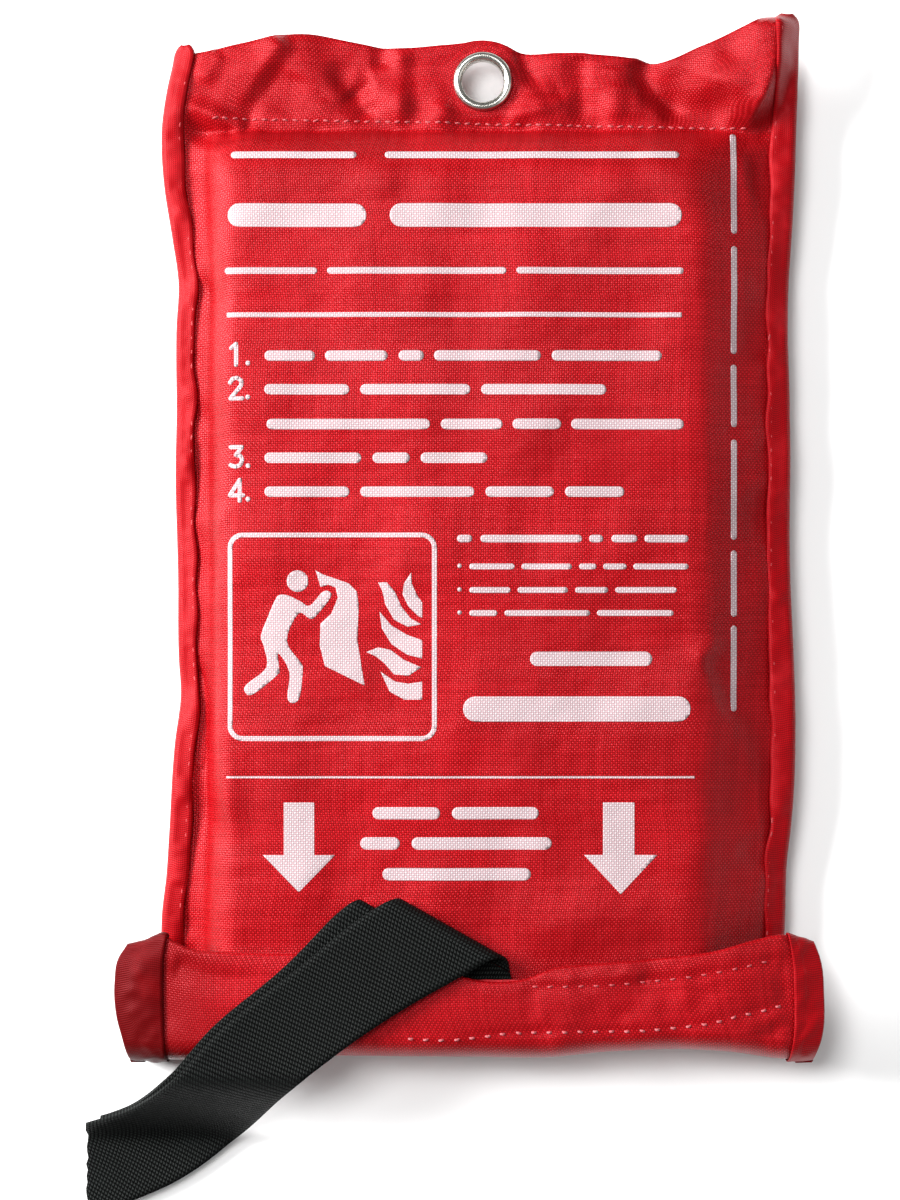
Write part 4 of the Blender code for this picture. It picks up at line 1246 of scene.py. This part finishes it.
def folded_blanket():
    low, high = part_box("folded_blanket")
    low, high = np.array(low) / MM, np.array(high) / MM
    pitch = GLASS_PITCH
    pack = WIDTHS * pitch
    turn_u = math.pi * pitch / 2
    panel_u = SHEET / WIDTHS - turn_u
    spacing = pack + 0.06
    turn_v = math.pi * spacing / 2
    length = SHEET - (LENGTHS - 1) * turn_v
    panel_v = length / LENGTHS
    u = strip_steps(WIDTHS, panel_u, turn_u, 12, 6)
    v = strip_steps(LENGTHS, panel_v, turn_v, 22, 12)
    px, pw, _, _ = zigzag(u, panel_u, WIDTHS, pitch)
    py, level, heading, rise = zigzag(v, panel_v, LENGTHS, spacing)
    uu, vv = np.meshgrid(u, v)
    offset = (pw - (WIDTHS - 1) * pitch / 2)[None, :]
    # Layers stray a little: their edges never line up
    stray = 0.8 * np.sin(pw * 9.1) + 0.5 * np.sin(pw * 23 + 1)
    x = px[None, :] + stray[None, :] + 0.7 * ripples(vv, uu * 0, 90, 81)
    y = py[:, None] - rise[:, None] * offset
    z = level[:, None] + heading[:, None] * offset
    y = y + 0.8 * np.sin(level / spacing * 5)[:, None]
    grid = np.stack([x, y + 0 * x, z + 0 * x], -1)
    flat = grid.reshape(-1, 3)
    centre = (flat.min(0) + flat.max(0)) / 2
    target = (low + high) / 2
    grid[..., :2] += (target - centre)[:2] + np.array([0, -2.5])
    grid[..., 2] += low[2] + 0.35 - flat[:, 2].min()
    # The outer layers are drawn in, so the stack's edges are round in section
    height = high[2] - low[2]
    off_middle = np.abs(grid[..., 2] - target[2]) / (height / 2)
    soft = np.clip((off_middle * height / 2 - (height / 2 - STACK_ROUND)) / STACK_ROUND, 0, 1)
    draw_in = STACK_ROUND * (1 - np.sqrt(np.clip(1 - soft ** 2, 0, 1)))
    for axis, half in ((0, (high[0] - low[0]) / 2), (1, (high[1] - low[1]) / 2)):
        away = grid[..., axis] - target[axis]
        grid[..., axis] = target[axis] + away * (half - STACK_INSET - draw_in) / half
    top_share = np.clip((grid[..., 2] - low[2]) / height, 0, 1)
    grid[..., 2] -= 1.1 * top_share
    grid[..., 2] += 0.25 * top_share * ripples(grid[..., 0], grid[..., 1], 40, 82)
    # Nothing sticks out of the pouch
    middle = low[2] + STACK_CORE_Z
    above, below = grid[..., 2].max() - middle, middle - grid[..., 2].min()
    ceiling = front_height(grid[..., 0], grid[..., 1]) - CLOTH - STACK_GAP
    ground = back_height(grid[..., 0], grid[..., 1]) + CLOTH + STACK_GAP
    up = np.clip((ceiling - middle) / above, 0.05, 1)
    down = np.clip((middle - ground) / below, 0.05, 1)
    rise = grid[..., 2] - middle
    grid[..., 2] = middle + np.where(rise > 0, rise * up, rise * down)
    uv = np.stack([uu, vv], -1)
    obj = grid_object("folded_blanket_cloth", grid, uv, MAT_GLASS)
    thicken(obj, GLASS_CLOTH, 0)
    attach(obj, "blanket", "folded_blanket")


# ---------------------------------------------------------------- print

PRINT_LIFT, PRINT_THICK, PRINT_CELL = 0.07, 0.05, 1.25
# Lines of print: the line's low and high y, each word's start and end in x, the bar's height
TITLE = [((104.6, 114.6), [(-70.3, -35.3), (-27.4, 54.6)], 2),
         ((86, 99.4), [(-71.1, -32.5), (-26, 55.2)], 6.6),
         ((73.4, 80.6), [(-72, -46.2), (-43.4, 6.4), (9.2, 55.7)], 1.8)]
STEPS = [
    ((50.1, 56.6), [(-60.8, -46.8), (-44, -26.6), (-23.5, -16.5), (-13.7, 16), (19, 49.6)], 2.9),
    ((40.6, 47.3), [(-60.8, -37.2), (-34.2, -3.6), (-0.6, 34.2)], 2.9),
    ((30.8, 37.8), [(-60.2, -14.8), (-11.8, 5.3), (8.1, 21.6), (24.4, 55.7)], 2.9),
    ((21.6, 28.3), [(-60.8, -33.9), (-30.8, -20.4), (-17.4, 1.1)], 2.9),
    ((12.3, 18.8), [(-60.8, -37.2), (-34.2, -2.5), (0.6, 19.6), (22.7, 39.2)], 2.9)]
NOTE_HEAD = [((0.3, 4.5), [(-7.3, -3.1), (-0.8, 27.4), (29.4, 33.3), (35.6, 42.8), (44.8, 57.1)], 2.1)]
NOTES = [
    ((-7.6, -3.1), [(-3.9, 8.7), (10.6, 24.6), (26.6, 31.4), (33.3, 39.8), (41.7, 57.1)], 1.6),
    ((-14, -9.8), [(-3.9, 7.6), (9.5, 23.5), (25.5, 34.7), (36.7, 53.8)], 1.6),
    ((-20.4, -16.2), [(-3.9, 3.9), (5.9, 29.7), (31.6, 52.9)], 1.6)]
CENTRE = [((-77.3, -70.3), [(-30.8, -12), (-8.7, 15.4)], 3.4),
          ((-85.7, -78.7), [(-34.2, -23.2), (-19.9, 19)], 3.4),
          ((-94.4, -87.1), [(-28, 13.2)], 3.4)]
SIDE_NOTE = [(-46, -22), (-19.5, -1), (2, 30), (33.5, 51), (54, 84), (87.5, 116)]
NUMBERS_Y = [50.1, 40.6, 21.6, 12.3]
DIGITS = {
    "1": [[(0.5, 4.7), (1.9, 5.9), (1.9, 0)]],
    "2": [[(0.2, 4.6), (0.9, 5.6), (2.2, 5.9), (3.4, 5.1), (3.4, 3.9), (2.4, 2.6), (0.3, 0.2)],
          [(0.3, 0.2), (3.7, 0.2)]],
    "3": [[(0.3, 5.7), (3.5, 5.7), (1.8, 3.5)],
          [(1.8, 3.5), (3.1, 3.2), (3.6, 2), (3, 0.7), (1.7, 0.2), (0.3, 0.7)]],
    "4": [[(2.9, 0), (2.9, 5.9), (0.1, 1.6)], [(0.1, 1.6), (3.9, 1.6)]],
}


def rounded_corners(box, inset, radius, count):
    """Points round a rectangle, on arcs about centres set in from its corners."""
    x0, x1, y0, y1 = box
    points = []
    for cx, cy, start in ((x1 - inset, y1 - inset, 0), (x0 + inset, y1 - inset, 90),
                          (x0 + inset, y0 + inset, 180), (x1 - inset, y0 + inset, 270)):
        for a in np.radians(np.linspace(start, start + 90, count)):
            points.append((cx + radius * math.cos(a), cy + radius * math.sin(a)))
    return points


def bar(x0, x1, y0, y1):
    r = min(x1 - x0, y1 - y0) / 2 * 0.98
    return rounded_corners((x0, x1, y0, y1), r, r, 6)


def stroke(path, width):
    """A line of some width as one rounded quad per segment."""
    shapes = []
    for a, b in zip(path, path[1:]):
        a, b = np.array(a, float), np.array(b, float)
        run = (b - a) / max(np.linalg.norm(b - a), 1e-9)
        side = np.array([-run[1], run[0]]) * width / 2
        points = []
        base = math.atan2(side[1], side[0])
        for end, first in ((a, 0), (b, math.pi)):
            for k in base + np.linspace(first, first + math.pi, 7):
                points.append(tuple(end + np.array([math.cos(k), math.sin(k)]) * width / 2))
        shapes.append(points)
    return shapes


def ring_frame(box, radius, width):
    """A rounded rectangular frame, as quads round it."""
    outer = rounded_corners(box, radius, radius, 7)
    inner = rounded_corners(box, radius, radius - width, 7)
    after = range(1 - len(outer), 1)
    return [[outer[i - 1], outer[i], inner[i], inner[i - 1]] for i in after]


FIGURE = [
    (-56.8, -13.5), (-54.4, -13.5), (-50.8, -15.2), (-48.2, -16.4), (-45, -12.9), (-43.2, -12.3),
    (-42.3, -13.9), (-46.4, -19.2), (-48.2, -20), (-51.4, -18.6), (-54.6, -26.2), (-50.6, -32.4),
    (-50.2, -34.2), (-50.9, -41.4), (-52.6, -43.5), (-54.4, -42), (-53.9, -34.8), (-57, -29.6),
    (-56.7, -34.2), (-57.4, -35.8), (-63.9, -41), (-66.1, -40.6), (-65.9, -38.4), (-60.3, -33.6),
    (-61, -27.8), (-61.8, -24.8), (-59.8, -19.4), (-58, -15.2)]
FLAMES = [
    [(-20, -7.2), (-22, -10.2), (-22.4, -13.3), (-20.8, -16.6), (-18.2, -19.2), (-17, -19.9),
     (-17, -15.5), (-18.5, -13.3), (-19.8, -10.4)],
    [(-29.2, -10), (-26.8, -9.9), (-24.5, -12.6), (-22.8, -16.6), (-20.2, -19.9), (-17.2, -21.6),
     (-21, -22.3), (-24.8, -20.3), (-27.2, -16.1), (-28, -12.4)],
    [(-28.8, -18.1), (-28.2, -22.7), (-25.5, -27.1), (-21.2, -30), (-17, -31.1), (-17, -26),
     (-21.2, -24.5), (-25.5, -21.9)],
    [(-32.5, -29.3), (-29.2, -28), (-25.8, -28.7), (-22, -31.5), (-17.2, -33.5), (-20.8, -35.9),
     (-24.8, -35.5), (-27.5, -32.4), (-30, -30.4)],
    [(-28.5, -34.8), (-24.5, -37.5), (-20.8, -38.1), (-17, -37.5), (-17, -42.5), (-22, -42.5),
     (-26, -40.3)],
]


def pictogram():
    """A plain sign: someone holds a blanket up in front of flames."""
    shapes = ring_frame((-71.1, -12.9, -54, 3.9), 4.2, 1.35)
    shapes.append(disc(-51.6, -9.6, 3, 24))
    loop = FIGURE[-2:] + FIGURE + FIGURE[:2]
    steps = len(loop) - 1
    rounded = curve(loop, np.arange(8, 4 * (steps - 1)) / (4 * steps))
    shapes.append([tuple(p) for p in rounded])
    blanket = [(-46.6, -6.6), (-44.6, -7.7), (-37.4, -10.2), (-35.2, -12.4), (-34.6, -16),
               (-35, -26), (-33, -38.6), (-44, -33.2), (-45.4, -27.6), (-45.2, -21.4),
               (-42.2, -18.6), (-40.4, -14.2), (-41, -11.4), (-43, -10.6), (-45.2, -11.2)]
    shapes.append(blanket)
    return shapes + FLAMES


def arrow(x0, x1, y_top, y_neck, head0, head1, tip_y):
    middle = (head0 + head1) / 2
    return [(x0, y_top), (x0, y_neck), (head0, y_neck), (middle, tip_y), (head1, y_neck),
            (x1, y_neck), (x1, y_top)]


def print_shapes():
    """All printed shapes as polygons: plain bars stand for the words."""
    shapes = []
    for (low, high), words, weight in TITLE + STEPS + NOTE_HEAD + NOTES + CENTRE:
        middle = low + (high - low) * 0.46
        for x0, x1 in words:
            shapes.append(bar(x0, x1, middle - weight / 2, middle + weight / 2))
    shapes.append([(-71.4, 63.8), (55.2, 63.8), (55.2, 65.1), (-71.4, 65.1)])
    shapes.append([(-71.4, -64.4), (58.8, -64.4), (58.8, -63.8), (-71.4, -63.8)])
    for digit, y in zip("1234", NUMBERS_Y):
        for path in DIGITS[digit]:
            shapes += stroke([(-70.6 + px, y + 0.4 + py) for px, py in path], 1.15)
        shapes.append(disc(-65.4, y + 0.9, 0.7, 12))
    for (low, high), _, _ in NOTES:
        shapes.append(disc(-6.6, (low + high) / 2, 0.62, 10))
    for low, high in SIDE_NOTE:
        shapes.append(bar(69.3, 71, low, high))
    shapes.append(bar(13, 47, -33.2, -29.2))
    shapes.append(bar(-5.6, 57.6, -48.6, -41.6))
    shapes += pictogram()
    shapes.append(arrow(-55.4, -47, -71.1, -85.7, -61.3, -41.2, -96))
    shapes.append(arrow(33.3, 42, -71.1, -85.7, 28, 48.4, -96.6))
    return shapes


def panel_print():
    """Thin print that follows the panel's folds."""
    bm = bmesh.new()
    for shape in print_shapes():
        verts = [bm.verts.new((x, y, 0)) for x, y in shape]
        face = bm.faces.new(verts)
        face.normal_update()
        if face.normal.z < 0:
            face.normal_flip()
    bmesh.ops.remove_doubles(bm, verts=bm.verts[:], dist=1e-4)
    for axis, low, high in ((0, -74, 74), (1, -98, 118)):
        for value in np.arange(low, high, PRINT_CELL):
            centre = Vector((value if axis == 0 else 0, value if axis == 1 else 0, 0))
            direction = Vector((1, 0, 0)) if axis == 0 else Vector((0, 1, 0))
            bmesh.ops.bisect_plane(bm, geom=bm.verts[:] + bm.edges[:] + bm.faces[:], dist=1e-5,
                                   plane_co=centre, plane_no=direction)
    bmesh.ops.triangulate(bm, faces=[f for f in bm.faces if len(f.verts) > 4])
    bm.verts.index_update()
    co = np.array([v.co[:] for v in bm.verts])
    x, y, z = set_edges(co[:, 0], co[:, 1], front_height(co[:, 0], co[:, 1]))
    for v, px, py, pz in zip(bm.verts, x, y, z):
        v.co = Vector((px, py, pz + PRINT_LIFT)) * MM
    mesh = bpy.data.meshes.new("panel_print")
    bm.to_mesh(mesh)
    bm.free()
    layer = mesh.uv_layers.new(name="cloth")
    loops = np.zeros(len(mesh.loops), int)
    mesh.loops.foreach_get("vertex_index", loops)
    layer.data.foreach_set("uv", (co[loops, :2] * MM).astype(np.float32).ravel())
    mesh.shade_smooth()
    obj = new_object("panel_print", mesh, MAT_INK)
    thicken(obj, PRINT_THICK)
    flat_look = obj.modifiers.new("normals", "WEIGHTED_NORMAL")
    flat_look.weight = 100
    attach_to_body(obj, "pouch")


# ---------------------------------------------------------------- stage

CAMERA_PLACE, CAMERA_LENS = (-0.00924, -0.01484, 0.948), 100    # straight down on the pouch
WORLD_LIGHT = 0.27
FLOOR_Z = -0.0004               # just under the lowest cloth


def area_light(name, place, aim, size, power):
    light = bpy.data.lights.new(name, "AREA")
    light.shape = "RECTANGLE"
    light.size = size
    light.size_y = size
    light.energy = power
    obj = bpy.data.objects.new(name, light)
    obj.location = place
    obj.rotation_euler = (Vector(aim) - Vector(place)).to_track_quat("-Z", "Y").to_euler()
    bpy.context.scene.collection.objects.link(obj)


def floor():
    bm = bmesh.new()
    bmesh.ops.create_grid(bm, x_segments=4, y_segments=4, size=3)
    mesh = bpy.data.meshes.new("floor")
    bm.to_mesh(mesh)
    bm.free()
    n = Nodes("floor_paper")
    place = n.place()
    tone = n.mix(n.spread(n.noise(place, 6, 4), 0.3, 0.7), (0.86, 0.86, 0.86, 1),
                 (0.90, 0.90, 0.90, 1))
    material = n.finish(tone, 0.7, n.bump(n.noise(place, 900, 2), 0.02, 0.3))
    obj = new_object("floor", mesh, material)
    obj.location = (0, 0, FLOOR_Z)


def stage():
    floor()
    area_light("key", (-1, 0.32, 0.56), (0, 0, 0.01), 0.5, 42)
    area_light("soft", (-0.36, 0.30, 1.2), (0, 0.03, 0.01), 0.5, 12.5)
    area_light("fill", (0.9, -0.2, 0.8), (0, 0, 0.01), 0.9, 3)
    world = bpy.data.worlds.new("studio")
    world.use_nodes = True
    world.node_tree.nodes["Background"].inputs["Color"].default_value = (1, 1, 1, 1)
    world.node_tree.nodes["Background"].inputs["Strength"].default_value = WORLD_LIGHT
    bpy.context.scene.world = world
    camera = bpy.data.cameras.new("camera")
    camera.lens = CAMERA_LENS
    camera.sensor_width = 36
    obj = bpy.data.objects.new("camera", camera)
    obj.location = CAMERA_PLACE
    bpy.context.scene.collection.objects.link(obj)
    bpy.context.scene.camera = obj
    bpy.context.scene.view_settings.view_transform = "Standard"


stage()
folded_blanket()
panels()
side_binding("left_binding_tape", -1, "left_binding")
side_binding("right_binding_tape", 1, "right_binding")
pouch_threads()
eyelet()
panel_print()
fasteners()
flap_cloth()
flap_bindings()
flap_threads()
tabs()
